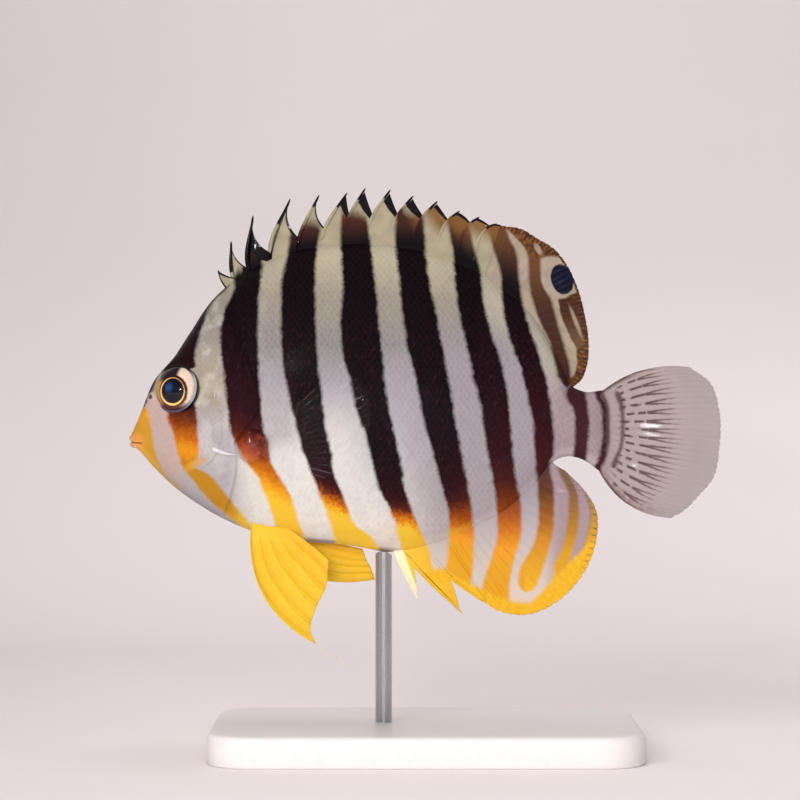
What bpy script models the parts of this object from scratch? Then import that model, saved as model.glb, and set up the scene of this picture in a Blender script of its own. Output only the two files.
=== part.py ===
"""A life-size multibarred angelfish on a plain display stand.

The fish faces -X with its back up, and its left flank looks along -Y. The origin is on the
floor under the middle of the model. Every length below is in millimetres and every angle in
degrees; place() turns a finished mesh into metres.
"""

import math

import bmesh
import bpy
import numpy as np

MM = 0.001
GAP = 0.3  # kept between neighbouring pieces

# Side view of the body: (x, z) of the back and of the belly, from the lips to the tail base
SNOUT_X = -38.9
BODY_END_X = 23.4
BACK_LINE = [
    (-38.9, 41.3), (-37.8, 43.7), (-36.3, 47.5), (-33.2, 51.7), (-31.0, 55.1), (-28.4, 59.0),
    (-25.4, 61.9), (-21.8, 64.2), (-16.5, 66.2), (-9.9, 67.0), (-3.4, 66.6), (3.2, 64.9),
    (9.8, 61.4), (14.6, 56.8), (17.4, 51.8), (18.8, 48.7), (20.6, 47.5), (23.4, 47.6),
]
BELLY_LINE = [
    (-38.9, 40.5), (-37.7, 39.7), (-36.0, 37.8), (-33.6, 35.4), (-29.7, 32.5), (-22.8, 29.1),
    (-16.5, 27.8), (-10.0, 27.2), (-4.0, 26.3), (0.6, 27.1), (5.9, 29.2), (11.1, 32.1),
    (14.8, 35.7), (16.8, 38.2), (18.6, 38.9), (20.4, 38.6), (23.4, 36.6),
]
# Greatest half width of the section at each x
HALF_WIDTHS = [
    (-38.9, 0.7), (-38.3, 1.35), (-37.4, 2.0), (-36.1, 2.8), (-34.6, 3.5), (-32.4, 4.35),
    (-29.7, 5.3), (-25.7, 6.4), (-21.5, 7.0), (-16.5, 7.2), (-9.9, 7.0), (-3.4, 6.3),
    (3.2, 5.4), (9.8, 4.3), (16.4, 3.1), (20.5, 2.3), (22.2, 1.7), (23.4, 1.0),
]
CREST = 0.55  # half width of the flat ridge along the back and belly, where the fins root
HEAD_BLUNT = (2.7, 0.5)  # the two powers of the section's curve on the head
TRUNK_SHARP = (2.2, 0.72)  # and on the trunk, which is keeled
BLUNT_UNTIL_X, SHARP_FROM_X = -32.0, -18.0
CHEEK_MIDDLE, CHEEK_REACH, CHEEK_RISE = (-25.5, 43.5), (4.5, 7.5), 0.45

# Where the head ends (the edge of the gill cover) and where the tail stalk starts: (z, x)
GILL_EDGE = [
    (26.0, -27.8), (30.4, -26.8), (33.8, -25.5), (36.4, -24.8), (39.1, -24.6), (41.0, -24.7),
    (42.7, -23.5), (44.3, -22.2), (46.3, -21.7), (48.9, -22.2), (54.2, -24.4), (59.5, -26.8),
    (68.0, -29.8),
]
STALK_EDGE = [(30.0, 17.2), (38.5, 17.2), (48.5, 18.8), (60.0, 18.8)]
HEAD_LOFT_END_X, TORSO_LOFT_X, STALK_LOFT_X = -20.4, (-31.0, 20.6), 16.0  # before the cuts
GILL_COVER_LIP = 0.4  # how far the gill cover's edge stands over the shoulder
GILL_COVER_BAND = 2.6  # width of the band in which it rises

# Head
EYE_X, EYE_Z = -32.75, 47.9
EYE_RADIUS, EYE_HALF_DEPTH = 3.0, 1.8
EYE_STANDS_OUT = 1.0
EYE_RIM = 0.4  # thickness radius of the fleshy ring round the eye
NOSTRILS = [(-36.9, 45.6, 0.26), (-36.0, 46.7, 0.34)]  # x, z, radius
MOUTH_X, MOUTH_Z = -37.4, 40.9  # middle of the curve of the jaws, and the height of their meeting
MOUTH_GAPE, MOUTH_RADIUS = 0.3, 1.7
LIPS = [("upper", 0.42, 0.42, 1.38), ("lower", -0.4, 0.38, 1.3)]  # rise, thickness, reach
CHEEK_EDGE = [(-27.6, 48.2), (-26.6, 44.6), (-26.4, 41.4), (-27.6, 38.6), (-30.2, 37.0)]
CHEEK_EDGE_RADIUS = 0.4
CHEEK_SPINE = [(-27.4, 40.2), (-25.6, 39.6), (-23.3, 39.2)]
CHEEK_SPINE_RADIUS = 0.5

# Spiny dorsal fin: per spine the x of its base on the back, the notch in front of it, its tip
DORSAL_SPINES = [
    (-26.2, (-26.8, 62.1), (-27.3, 63.4)), (-25.1, (-25.2, 62.9), (-25.6, 67.2)),
    (-23.2, (-23.2, 64.3), (-22.7, 70.6)), (-20.5, (-20.4, 66.6), (-17.8, 72.8)),
    (-17.2, (-16.7, 68.2), (-14.0, 73.2)), (-14.2, (-13.2, 69.2), (-10.2, 73.6)),
    (-11.6, (-10.0, 70.7), (-7.8, 74.2)), (-8.4, (-6.9, 70.7), (-4.6, 74.0)),
    (-5.2, (-3.5, 70.8), (-1.5, 73.3)), (-2.1, (-0.2, 70.7), (1.6, 72.6)),
    (1.1, (3.1, 70.2), (4.6, 71.2)), (4.0, (6.0, 69.6), (7.3, 70.4)),
    (6.3, (8.5, 69.1), (9.4, 69.5)),
]
SPINY_END = (7.7, (9.6, 69.0))  # x of the root and the end of the membrane behind the last spine
# How the membrane's edge falls from a spine to the next notch: share of the way, share of the fall
MEMBRANE_FALL = [(0.02, 0.45), (0.22, 0.76), (0.6, 0.93)]
SPINE_INSET, NEAR_TIP = 0.12, 0.9
# Soft dorsal fin, anal fin and tail fin: the x range of the root and the points of the margin
SOFT_DORSAL_ROOT = (8.1, 18.3)
SOFT_DORSAL_MARGIN = [
    (9.95, 69.3), (12.6, 68.9), (14.8, 67.6), (16.9, 66.3), (18.6, 64.2), (20.1, 61.0),
    (21.0, 57.5), (21.5, 53.8), (21.4, 50.8), (20.4, 48.6),
]
ANAL_SPINES = [
    (-3.3, (-3.4, 25.4), (-1.0, 20.1)), (-1.6, (-1.8, 24.7), (4.8, 18.3)),
    (1.4, (3.1, 23.2), (7.6, 19.8)),
]
ANAL_SOFT_ROOT = (2.2, 16.7)
ANAL_MARGIN = [
    (7.6, 19.8), (9.4, 18.6), (11.6, 18.0), (14.0, 18.1), (16.6, 19.2), (19.3, 21.4),
    (21.5, 24.6), (22.6, 28.2), (22.5, 31.8), (20.8, 34.6), (18.4, 37.0),
]
TAIL_ROOT = (47.2, 36.9)  # z of its first and last ray
TAIL_MARGIN = [
    (34.8, 50.7), (37.6, 48.6), (38.75, 44.9), (38.8, 40.3), (38.0, 36.2), (35.9, 33.6),
    (33.9, 31.6), (32.3, 30.7),
]
TAIL_UPPER_BOW, TAIL_LOWER_BOW = 0.11, 0.14
DORSAL_RAYS, ANAL_RAYS, TAIL_RAYS = 18, 18, 17

# Paired fins
LOBE_X, LOBE_Z = -22.5, 40.2  # fleshy base of the pectoral fin
LOBE_AXES = (1.9, 1.25, 2.2)
LOBE_STANDS_OUT = 0.5
PECTORAL_RAYS = 15
PECTORAL_LENGTHS = [(-18, 8.4), (0, 12.2), (15, 14.2), (28, 14.6), (42, 13.4)]  # by ray angle
PECTORAL_FLARE = 11.0  # angle between the fin and the body's axis
PECTORAL_CURL = 0.8  # how far the tips bend outward
PELVIC_ROOT = (-22.8, -18.0)
PELVIC_SIDE, PELVIC_SPREAD, PELVIC_DROP = 1.75, 0.15, 0.5
LEFT_PELVIC_MARGIN = [(-14.4, 14.6), (-15.0, 16.2), (-14.2, 19.4), (-13.0, 22.0), (-12.7, 25.4)]
LEFT_PELVIC_BOWS = (-0.17, 0.02)
RIGHT_PELVIC_MARGIN = [(-6.7, 22.5), (-7.2, 24.0), (-7.9, 25.4), (-8.3, 26.6)]
RIGHT_PELVIC_BOWS = (-0.19, -0.02)
PELVIC_RAYS = 6
PELVIC_THREAD = [(-15.2, 16.0), (-14.3, 14.6), (-12.9, 13.5), (-11.2, 12.6), (-10.0, 11.5)]

# Thickness halves of fins
RIDGE, MEMBRANE, RIDGE_END, MEMBRANE_END = 0.4, 0.25, 0.27, 0.2
SPINE_BASE, SPINE_TIP = 0.5, 0.16

# Display stand
BASE_SIZE, BASE_CORNER, BASE_BEVEL = (56.0, 34.0, 4.0), 6.0, 0.8
ROD_X, ROD_RADIUS, ROD_FOOT_Z = -5.5, 1.1, 1.8


def smooth(points):
    """A function of the first coordinate that runs through the points with rounded bends."""
    xs, ys = np.array(points, float).T
    slopes = np.gradient(ys, xs)

    def at(x):
        x = np.clip(x, xs[0], xs[-1])
        i = np.clip(np.searchsorted(xs, x) - 1, 0, len(xs) - 2)
        step = xs[i + 1] - xs[i]
        u = (x - xs[i]) / step
        return (
            (1 + 2 * u) * (1 - u) ** 2 * ys[i] + u * (1 - u) ** 2 * step * slopes[i]
            + u * u * (3 - 2 * u) * ys[i + 1] + u * u * (u - 1) * step * slopes[i + 1]
        )

    return at


def along(points, fractions):
    """Points at the given fractions of the length of a rounded line through the points."""
    points = np.array(points, float)
    length = np.concatenate([[0], np.cumsum(np.linalg.norm(np.diff(points, axis=0), axis=1))])
    rounded = [smooth(np.column_stack([length / length[-1], axis])) for axis in points.T]
    return np.column_stack([axis(np.asarray(fractions, float)) for axis in rounded])


back, belly, half_width = smooth(BACK_LINE), smooth(BELLY_LINE), smooth(HALF_WIDTHS)
gill_edge, stalk_edge = smooth(GILL_EDGE), smooth(STALK_EDGE)


def powers(x):
    """The two powers of the section's curve: blunt on the head, keeled on the trunk."""
    mix = np.clip((x - BLUNT_UNTIL_X) / (SHARP_FROM_X - BLUNT_UNTIL_X), 0, 1)
    return [blunt + (sharp - blunt) * mix for blunt, sharp in zip(HEAD_BLUNT, TRUNK_SHARP)]


def flank(x, z):
    """How far the body's surface stands from its middle plane at a point of the side view."""
    top, bottom = back(x), belly(x)
    height = np.clip((2 * z - top - bottom) / (top - bottom), -1, 1)
    outer, inner = powers(x)
    fullness = (1 - np.abs(height) ** outer) ** inner
    cheek = np.exp(
        -(((x - CHEEK_MIDDLE[0]) / CHEEK_REACH[0]) ** 2) - ((z - CHEEK_MIDDLE[1]) / CHEEK_REACH[1]) ** 2
    )
    return CREST + (half_width(x) - CREST) * fullness + CHEEK_RISE * cheek * fullness


def gill_cover(x, z):
    """The flank with the gill cover's edge raised over the shoulder."""
    ahead = np.clip((gill_edge(z) - x) / GILL_COVER_BAND, 0, 1)
    return flank(x, z) + GILL_COVER_LIP * (1 - ahead) ** 2 * np.minimum(1, (flank(x, z) - CREST) / 2)


def keel(x, y, top):
    """Height of the body's surface near the back (top) or belly at a distance y from the middle."""
    outer, inner = powers(x)
    part = np.clip((np.abs(y) - CREST) / (half_width(x) - CREST), 0, 1)
    height = (1 - part ** (1 / inner)) ** (1 / outer)
    middle, half = (back(x) + belly(x)) / 2, (back(x) - belly(x)) / 2
    return middle + half * (height if top else -height)


def outward(x, z):
    """Unit normal of the left flank, as (x, y, z)."""
    step = 0.2
    along_x = (flank(x + step, z) - flank(x - step, z)) / (2 * step)
    along_z = (flank(x, z + step) - flank(x, z - step)) / (2 * step)
    normal = np.array([-along_x, -1.0, -along_z])
    return normal / np.linalg.norm(normal)


def place(name, points, faces):
    """A closed mesh object, in metres, with its faces turned outward."""
    mesh = bpy.data.meshes.new(name)
    mesh.from_pydata((np.asarray(points, float) * MM).tolist(), [], [list(face) for face in faces])
    work = bmesh.new()
    work.from_mesh(mesh)
    bmesh.ops.recalc_face_normals(work, faces=work.faces)
    if work.calc_volume(signed=True) < 0:
        bmesh.ops.reverse_faces(work, faces=work.faces)
    work.to_mesh(mesh)
    work.free()
    thing = bpy.data.objects.new(name, mesh)
    bpy.context.scene.collection.objects.link(thing)
    return thing


def rings_to_faces(rings, sides):
    """Triangles of a tube of rings, without its ends."""
    faces = []
    for ring in range(rings - 1):
        for side in range(sides):
            a, b = ring * sides + side, ring * sides + (side + 1) % sides
            c, d = a + sides, b + sides
            faces += [(a, b, d), (a, d, c)]
    return faces


def loft(name, stations, surface, levels=16):
    """The body between the first and last station, as sections across X."""
    heights = np.sin(np.linspace(-math.pi / 2, math.pi / 2, levels))
    rings = []
    for x in stations:
        z = (back(x) + belly(x)) / 2 + (back(x) - belly(x)) / 2 * heights
        y = surface(np.full(levels, x), z)
        right = np.column_stack([np.full(levels, x), y, z])
        left = right[::-1] * (1, -1, 1)
        rings.append(np.concatenate([right, left]))
    sides = 2 * levels
    faces = rings_to_faces(len(rings), sides)
    for start in (0, (len(rings) - 1) * sides):
        for level in range(levels - 1):
            a, b = start + level, start + level + 1
            c, d = start + sides - 2 - level, start + sides - 1 - level
            faces += [(a, b, c), (a, c, d)]
    return place(name, np.concatenate(rings), faces)


def prism(name, outline, depth=24.0):
    """A helper: an (x, z) outline drawn out to both sides of the middle plane."""
    count = len(outline)
    points = [(x, y, z) for y in (-depth, depth) for x, z in outline]
    faces = [tuple(range(count)), tuple(range(2 * count - 1, count - 1, -1))]
    faces += [(i, (i + 1) % count, count + (i + 1) % count, count + i) for i in range(count)]
    return place(name, points, faces)


def ellipsoid(name, middle, axes, normal, segments=20, levels=12):
    """An ellipsoid whose second axis points along normal."""
    out = np.array(normal, float)
    up = np.array([0.0, 0.0, 1.0]) - out * out[2]
    up /= np.linalg.norm(up)
    side = np.cross(out, up)
    turns = np.arange(segments) * 2 * math.pi / segments
    points = []
    for level in range(1, levels):
        tilt = math.pi * level / levels
        ring = (
            np.outer(np.cos(turns) * math.sin(tilt) * axes[0], side)
            + np.outer(np.sin(turns) * math.sin(tilt) * axes[2], up)
            + math.cos(tilt) * axes[1] * out
        )
        points.append(middle + ring)
    points = np.concatenate(points + [[middle + axes[1] * out], [middle - axes[1] * out]])
    faces = rings_to_faces(levels - 1, segments)
    first, last = len(points) - 2, len(points) - 1
    for side_index in range(segments):
        following = (side_index + 1) % segments
        end = (levels - 2) * segments
        faces += [(first, following, side_index), (last, end + side_index, end + following)]
    return place(name, points, faces)


def tube(name, path, radii, sides=6, closed=False, across=(0.0, 1.0, 0.0)):
    """A round tapering bar along a path, or a closed ring of one."""
    path = np.array(path, float)
    ahead = np.roll(path, -1, axis=0) - np.roll(path, 1, axis=0)
    if not closed:
        ahead[0], ahead[-1] = path[1] - path[0], path[-1] - path[-2]
    ahead /= np.linalg.norm(ahead, axis=1)[:, None]
    first = np.cross(ahead, np.array(across))
    first /= np.linalg.norm(first, axis=1)[:, None]
    second = np.cross(ahead, first)
    turns = (np.arange(sides) + 0.5) * 2 * math.pi / sides
    radii = np.broadcast_to(radii, len(path))
    rings = [
        path[i] + radii[i] * (np.outer(np.cos(turns), first[i]) + np.outer(np.sin(turns), second[i]))
        for i in range(len(path))
    ]
    points = np.concatenate(rings)
    if closed:
        faces = rings_to_faces(len(path) + 1, sides)
        faces = [tuple(index % len(points) for index in face) for face in faces]
    else:
        faces = rings_to_faces(len(path), sides)
        last = (len(path) - 1) * sides
        faces += [tuple(range(sides)), tuple(range(last + sides - 1, last - 1, -1))]
    return place(name, points, faces)


def sheet(name, middle, halves, out=(0.0, 1.0, 0.0)):
    """A closed thin plate round a grid of points, split into triangles alike on both faces."""
    columns, rows = middle.shape[:2]
    offset = np.asarray(out, float) * halves[..., None]
    near, far = (middle - offset).reshape(-1, 3), (middle + offset).reshape(-1, 3)
    count = columns * rows
    faces = []
    for column in range(columns - 1):
        for row in range(rows - 1):
            a, b = column * rows + row, (column + 1) * rows + row
            for face in ((a, b, b + 1), (a, b + 1, a + 1)):
                faces += [face, tuple(count + index for index in reversed(face))]
    border = [column * rows for column in range(columns)]
    border += [(columns - 1) * rows + row for row in range(1, rows)]
    border += [column * rows + rows - 1 for column in range(columns - 2, -1, -1)]
    border += list(range(rows - 2, 0, -1))
    for a, b in zip(border, border[1:] + border[:1]):
        faces += [(a, count + a, count + b), (a, count + b, b)]
    return place(name, np.concatenate([near, far]), faces)


def merge(first, others, operation="UNION", solver="EXACT"):
    """One Boolean with a collection of closed meshes, applied, with the helpers then removed."""
    helpers = bpy.data.collections.new("helpers")
    bpy.context.scene.collection.children.link(helpers)
    for other in others:
        helpers.objects.link(other)
    step = first.modifiers.new("merge", "BOOLEAN")
    step.operation, step.solver = operation, solver
    step.operand_type, step.collection = "COLLECTION", helpers
    graph = bpy.context.evaluated_depsgraph_get()
    merged = bpy.data.meshes.new_from_object(first.evaluated_get(graph))
    first.modifiers.remove(step)
    old, first.data = first.data, merged
    bpy.data.meshes.remove(old)
    for other in others:
        bpy.data.objects.remove(other)
    bpy.data.collections.remove(helpers)
    keep_largest(first)
    return first


def keep_largest(thing):
    """Leaves only the largest closed surface of a mesh."""
    work = bmesh.new()
    work.from_mesh(thing.data)
    loose, pieces = set(work.faces), []
    while loose:
        piece, edge = [], [loose.pop()]
        while edge:
            face = edge.pop()
            piece.append(face)
            for neighbour in {link for side in face.edges for link in side.link_faces}:
                if neighbour in loose:
                    loose.discard(neighbour)
                    edge.append(neighbour)
        pieces.append(piece)
    pieces.sort(key=lambda piece: sum(face.calc_area() for face in piece))
    extra = [face for piece in pieces[:-1] for face in piece]
    bmesh.ops.delete(work, geom=extra, context="FACES")
    work.to_mesh(thing.data)
    work.free()


def bowed(start, end, bow, steps):
    """Points on a line from start to end that bends by bow times its length at its middle."""
    start, end = np.array(start, float), np.array(end, float)
    across = np.array([-(end - start)[1], (end - start)[0]])
    control = (start + end) / 2 + 2 * bow * across
    u = np.linspace(0, 1, steps)[:, None]
    return (1 - u) ** 2 * start + 2 * u * (1 - u) * control + u * u * end


def fan(roots, ends, bows, rows):
    """Grid of (x, z) points: one bowed line for each pair of root and end."""
    return np.array([bowed(*line, rows) for line in zip(roots, ends, bows)])


def flat(grid):
    """A grid of (x, z) points in the middle plane."""
    return np.stack([grid[..., 0], np.zeros(grid.shape[:2]), grid[..., 1]], axis=-1)


def ray_halves(columns, rows, every):
    """Half thicknesses of a fin: a ridge at every ray, thin membrane between, thinner outward."""
    ridge = np.linspace(RIDGE, RIDGE_END, rows)
    membrane = np.linspace(MEMBRANE, MEMBRANE_END, rows)
    return np.array([ridge if column % every == 0 else membrane for column in range(columns)])


def fin_root(x, top):
    """(x, z) a gap off the flat ridge of the back or belly, square to it."""
    line, step = (back if top else belly), 0.1
    slope = (line(x + step) - line(x - step)) / (2 * step)
    side = 1 if top else -1
    length = math.hypot(1, slope)
    return np.array([x - side * slope * GAP / length, line(x) + side * GAP / length])


def spiny_columns(spines, top, rows):
    """Columns of a spiny fin's membrane: each spine's front side ends at the notch in front of
    it and its back side near its tip, and the membrane behind falls away to the next notch."""
    columns, aside = [], np.array([SPINE_INSET, 0])
    for index, (base_x, notch, tip) in enumerate(spines):
        notch, tip = np.array(notch), np.array(tip)
        high = notch + (tip - notch) * NEAR_TIP
        columns.append((fin_root(base_x - SPINE_INSET, top), notch - aside))
        columns.append((fin_root(base_x + SPINE_INSET, top), high + aside))
        if index + 1 == len(spines):
            break
        following = np.array(spines[index + 1][1])
        for step, fall in enumerate(MEMBRANE_FALL, 1):
            edge = high + aside + (following - high - aside) * fall
            root_x = base_x + (spines[index + 1][0] - base_x) * step / (len(MEMBRANE_FALL) + 1)
            columns.append((fin_root(root_x, top), edge))
    roots, ends = zip(*columns)
    return fan(roots, ends, [0.0] * len(columns), rows)


def spine_bars(spines, top):
    """The spines themselves, tapering bars from just off the back to their free tips."""
    bars = []
    for index, (base_x, notch, tip) in enumerate(spines):
        root = fin_root(base_x, top)
        notch, tip = np.array(notch), np.array(tip)
        start = root + (notch - root) * (GAP + 0.05) / max(np.linalg.norm(notch - root), 1)
        middle = notch + (tip - notch) * 0.45
        path = [(x, 0.0, z) for x, z in (start, notch, middle, tip)]
        radii = [SPINE_BASE, SPINE_BASE * 0.8, SPINE_BASE * 0.6, SPINE_TIP]
        bars.append(tube(f"spine_{index}", path, radii))
    return bars


def material(name, color, roughness, metallic=0.0):
    made = bpy.data.materials.new(name)
    made.use_nodes = True
    shader = made.node_tree.nodes["Principled BSDF"]
    shader.inputs["Base Color"].default_value = (*color, 1.0)
    shader.inputs["Roughness"].default_value = roughness
    shader.inputs["Metallic"].default_value = metallic
    return made


def clear_scene():
    for thing in list(bpy.data.objects):
        bpy.data.objects.remove(thing)


def region(name, low, high):
    """A prism between two edges, each a function of z and a signed gap, or a plain x."""
    heights = np.linspace(15, 80, 53)
    west = [(low(z) + GAP / 2 if callable(low) else low, z) for z in heights]
    east = [(high(z) - GAP / 2 if callable(high) else high, z) for z in heights]
    return prism(name, west + east[::-1])


def eye_middle():
    surface = np.array([EYE_X, -flank(EYE_X, EYE_Z), EYE_Z])
    return surface + outward(EYE_X, EYE_Z) * (EYE_STANDS_OUT - EYE_HALF_DEPTH)


def on_flank(line, radius, count):
    """A line of the side view laid on the left flank, its middle a little under the skin."""
    spots = along(line, np.linspace(0, 1, count))
    return np.array([(x, -flank(x, z) + radius * 0.45, z) for x, z in spots])


def mirrored(points):
    return np.asarray(points) * (1, -1, 1)


def head():
    """Snout, cheeks and gill covers, with lips, mouth, nostrils, eye rims and sockets."""
    stations = SNOUT_X + (HEAD_LOFT_END_X - SNOUT_X) * np.linspace(0, 1, 23) ** 1.45
    made = loft("head", stations, gill_cover, levels=18)
    added, taken = [], []
    normal, middle = outward(EYE_X, EYE_Z), eye_middle()
    up = np.array([0, 0, 1.0]) - normal * normal[2]
    up /= np.linalg.norm(up)
    side = np.cross(normal, up)
    rim_radius = EYE_RADIUS + GAP + EYE_RIM * 0.3
    turns = np.linspace(0, 2 * math.pi, 24, endpoint=False)
    ring = [
        middle + normal * (EYE_HALF_DEPTH - EYE_STANDS_OUT - 0.05)
        + rim_radius * (math.cos(turn) * side + math.sin(turn) * up) for turn in turns
    ]
    edge = on_flank(CHEEK_EDGE, CHEEK_EDGE_RADIUS, 9)
    spine = on_flank(CHEEK_SPINE, 0.2, 4)
    for sign, turned in (("left", np.asarray), ("right", mirrored)):
        out = turned(normal)
        added.append(tube(f"rim_{sign}", turned(ring), EYE_RIM, 8, closed=True, across=out))
        radii = CHEEK_EDGE_RADIUS * np.array([0.4, 0.7, 1, 1, 1, 1, 1, 0.7, 0.4])
        added.append(tube(f"edge_{sign}", turned(edge), radii))
        radii = CHEEK_SPINE_RADIUS * np.array([1, 0.8, 0.5, 0.3])
        added.append(tube(f"cheek_spine_{sign}", turned(spine), radii))
        socket = [EYE_RADIUS + GAP, EYE_HALF_DEPTH + GAP, EYE_RADIUS + GAP]
        taken.append(ellipsoid(f"socket_{sign}", turned(middle), socket, out))
        for index, (x, z, radius) in enumerate(NOSTRILS):
            pit = turned((x, -flank(x, z), z))
            axes = (radius, radius * 1.6, radius * 1.25)
            taken.append(ellipsoid(f"nostril_{sign}_{index}", pit, axes, turned(outward(x, z)), 8, 6))
    for name, rise, radius, reach in LIPS:
        sweep = np.linspace(-1.15, 1.15, 9)
        path = [
            (MOUTH_X - reach * math.cos(turn) * 0.85, reach * math.sin(turn),
             MOUTH_Z + rise - 0.5 * (1 - math.cos(turn))) for turn in sweep
        ]
        added.append(tube(f"lip_{name}", path, radius * np.cos(sweep * 0.75), across=(0, 0, 1)))
    taken.append(mouth_slit(turns))
    merge(made, added)
    merge(made, taken, "DIFFERENCE")
    return merge(made, [region("front", SNOUT_X - 5, gill_edge)], "INTERSECT")


def mouth_slit(turns):
    """A helper: the thin round wedge that parts the lips, its corners a little lower."""
    slit = [
        (MOUTH_X - 0.3 + MOUTH_RADIUS * math.cos(turn), MOUTH_RADIUS * math.sin(turn))
        for turn in turns
    ]
    count = len(slit)
    points = [
        (x, y, MOUTH_Z + rise - 0.12 * abs(y))
        for rise in (-MOUTH_GAPE / 2, MOUTH_GAPE / 2) for x, y in slit
    ]
    faces = [tuple(range(count)), tuple(range(2 * count - 1, count - 1, -1))]
    faces += [(i, (i + 1) % count, count + (i + 1) % count, count + i) for i in range(count)]
    return place("mouth", points, faces)


def torso():
    """The trunk from the gill covers to the tail stalk, with the fleshy pectoral bases."""
    stations = np.linspace(*TORSO_LOFT_X, 27)
    made = loft("torso", stations, flank)
    lobes = [
        ellipsoid(f"lobe_{index}", turned(lobe_middle()), LOBE_AXES, (0, 1, 0), 12, 8)
        for index, turned in enumerate((np.asarray, mirrored))
    ]
    merge(made, lobes)
    return merge(made, [region("trunk", gill_edge, stalk_edge)], "INTERSECT")


def tail_stalk():
    made = loft("tail_stalk", np.linspace(STALK_LOFT_X, BODY_END_X, 8), flank)
    return merge(made, [region("rear", stalk_edge, BODY_END_X + 5)], "INTERSECT")


def lobe_middle():
    return np.array([LOBE_X, -flank(LOBE_X, LOBE_Z) - LOBE_STANDS_OUT, LOBE_Z])


def spiny_dorsal():
    rows = 4
    grid = spiny_columns(DORSAL_SPINES, True, rows)
    end = bowed(fin_root(SPINY_END[0], True), SPINY_END[1], 0.0, rows)
    grid = np.concatenate([grid, [end]])
    halves = np.full(grid.shape[:2], MEMBRANE) * np.linspace(1.2, 1, rows)
    made = sheet("fin_dorsal_spiny", flat(grid), halves)
    return merge(made, spine_bars(DORSAL_SPINES, True))


def soft_fin(name, root_range, top, margin, rays, rows=6, bows=(0.02, 0.02)):
    """A soft fin of the middle plane: rays fan from the ridge of the body to the margin."""
    columns = 3 * (rays - 1) + 1
    shares = np.linspace(0, 1, columns)
    roots = [fin_root(x, top) for x in root_range[0] + (root_range[1] - root_range[0]) * shares]
    grid = fan(roots, along(margin, shares), np.linspace(*bows, columns), rows)
    return sheet(name, flat(grid), ray_halves(columns, rows, 3))


def anal():
    rows = 6
    made = soft_fin("fin_anal", ANAL_SOFT_ROOT, False, ANAL_MARGIN, ANAL_RAYS, rows, (-0.02, -0.06))
    grid = spiny_columns(ANAL_SPINES, False, rows)
    last = (fin_root(ANAL_SOFT_ROOT[0] + 0.4, False), np.array(ANAL_MARGIN[0]) + (0.4, 0.2))
    grid = np.concatenate([grid, [bowed(*last, 0.0, rows)]])
    front = sheet("front_part", flat(grid), np.full(grid.shape[:2], MEMBRANE * 1.04))
    return merge(made, [front] + spine_bars(ANAL_SPINES, False))


def caudal():
    rows, columns = 8, 3 * (TAIL_RAYS - 1) + 1
    shares = np.linspace(0, 1, columns)
    root_x = BODY_END_X + GAP
    roots = [(root_x, TAIL_ROOT[0] + (TAIL_ROOT[1] - TAIL_ROOT[0]) * share) for share in shares]
    upper, lower = (1 - 2 * shares).clip(0) ** 1.5, (2 * shares - 1).clip(0) ** 1.5
    bows = TAIL_UPPER_BOW * upper - TAIL_LOWER_BOW * lower
    grid = fan(roots, along(TAIL_MARGIN, shares), bows, rows)
    return sheet("fin_caudal", flat(grid), ray_halves(columns, rows, 3))


def pectoral(name, turned):
    """A rounded fan standing off the flank behind its fleshy base."""
    rows, columns = 6, 2 * (PECTORAL_RAYS - 1) + 1
    angles = np.linspace(PECTORAL_LENGTHS[0][0], PECTORAL_LENGTHS[-1][0], columns)
    lengths = smooth(PECTORAL_LENGTHS)(angles)
    flare = math.radians(PECTORAL_FLARE)
    aft = np.array([math.cos(flare), -math.sin(flare), 0.0])
    out = np.array([-math.sin(flare), -math.cos(flare), 0.0])
    middle = lobe_middle()
    grid = []
    for share, angle, length in zip(np.linspace(-1, 1, columns), np.radians(angles), lengths):
        root_turn = math.radians(40) * share
        start = LOBE_AXES[0] * math.cos(root_turn) * aft
        start[2] += LOBE_AXES[2] * math.sin(root_turn)
        start += (start / np.linalg.norm(start)) * (GAP + 0.06)
        toward = math.cos(angle) * aft + np.array([0, 0, math.sin(angle)])
        reach = np.linspace(0, 1, rows)[:, None]
        grid.append(middle + start + reach * length * toward + PECTORAL_CURL * reach**2 * out)
    halves = ray_halves(columns, rows, 2) * 0.95
    halves = np.maximum(halves, 0.2)
    return sheet(name, turned(np.array(grid)), halves, turned(out))


def pelvic(name, side, margin, bows):
    """A pointed fin that hangs from the belly, its root cut to the belly's own curve."""
    rows, columns = 7, 2 * (PELVIC_RAYS - 1) + 1
    shares = np.linspace(0, 1, columns)
    xs = PELVIC_ROOT[0] + (PELVIC_ROOT[1] - PELVIC_ROOT[0]) * shares
    levels = keel(xs, PELVIC_SIDE, False) - PELVIC_DROP
    grid = fan(np.column_stack([xs, levels]), along(margin, shares), np.linspace(*bows, columns), rows)
    y = PELVIC_SIDE + PELVIC_SPREAD * (grid[:, :1, 1] - grid[..., 1])
    middle = np.stack([grid[..., 0], side * y, grid[..., 1]], axis=-1)
    halves = ray_halves(columns, rows, 2)
    halves[0] = np.linspace(RIDGE * 1.25, RIDGE_END, rows)
    return sheet(name, middle, halves, (0, side, 0))


def left_pelvic():
    made = pelvic("fin_pelvic_left", -1, LEFT_PELVIC_MARGIN, LEFT_PELVIC_BOWS)
    top = keel(PELVIC_ROOT[0], PELVIC_SIDE, False)
    path = [
        (x, -(PELVIC_SIDE + PELVIC_SPREAD * (top - z)), z)
        for x, z in along(PELVIC_THREAD, np.linspace(0, 1, 6))
    ]
    return merge(made, [tube("thread", path, np.linspace(0.3, 0.16, 6))])


def eye(name, turned):
    axes = (EYE_RADIUS, EYE_HALF_DEPTH, EYE_RADIUS)
    return ellipsoid(name, turned(eye_middle()), axes, turned(outward(EYE_X, EYE_Z)))


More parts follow.
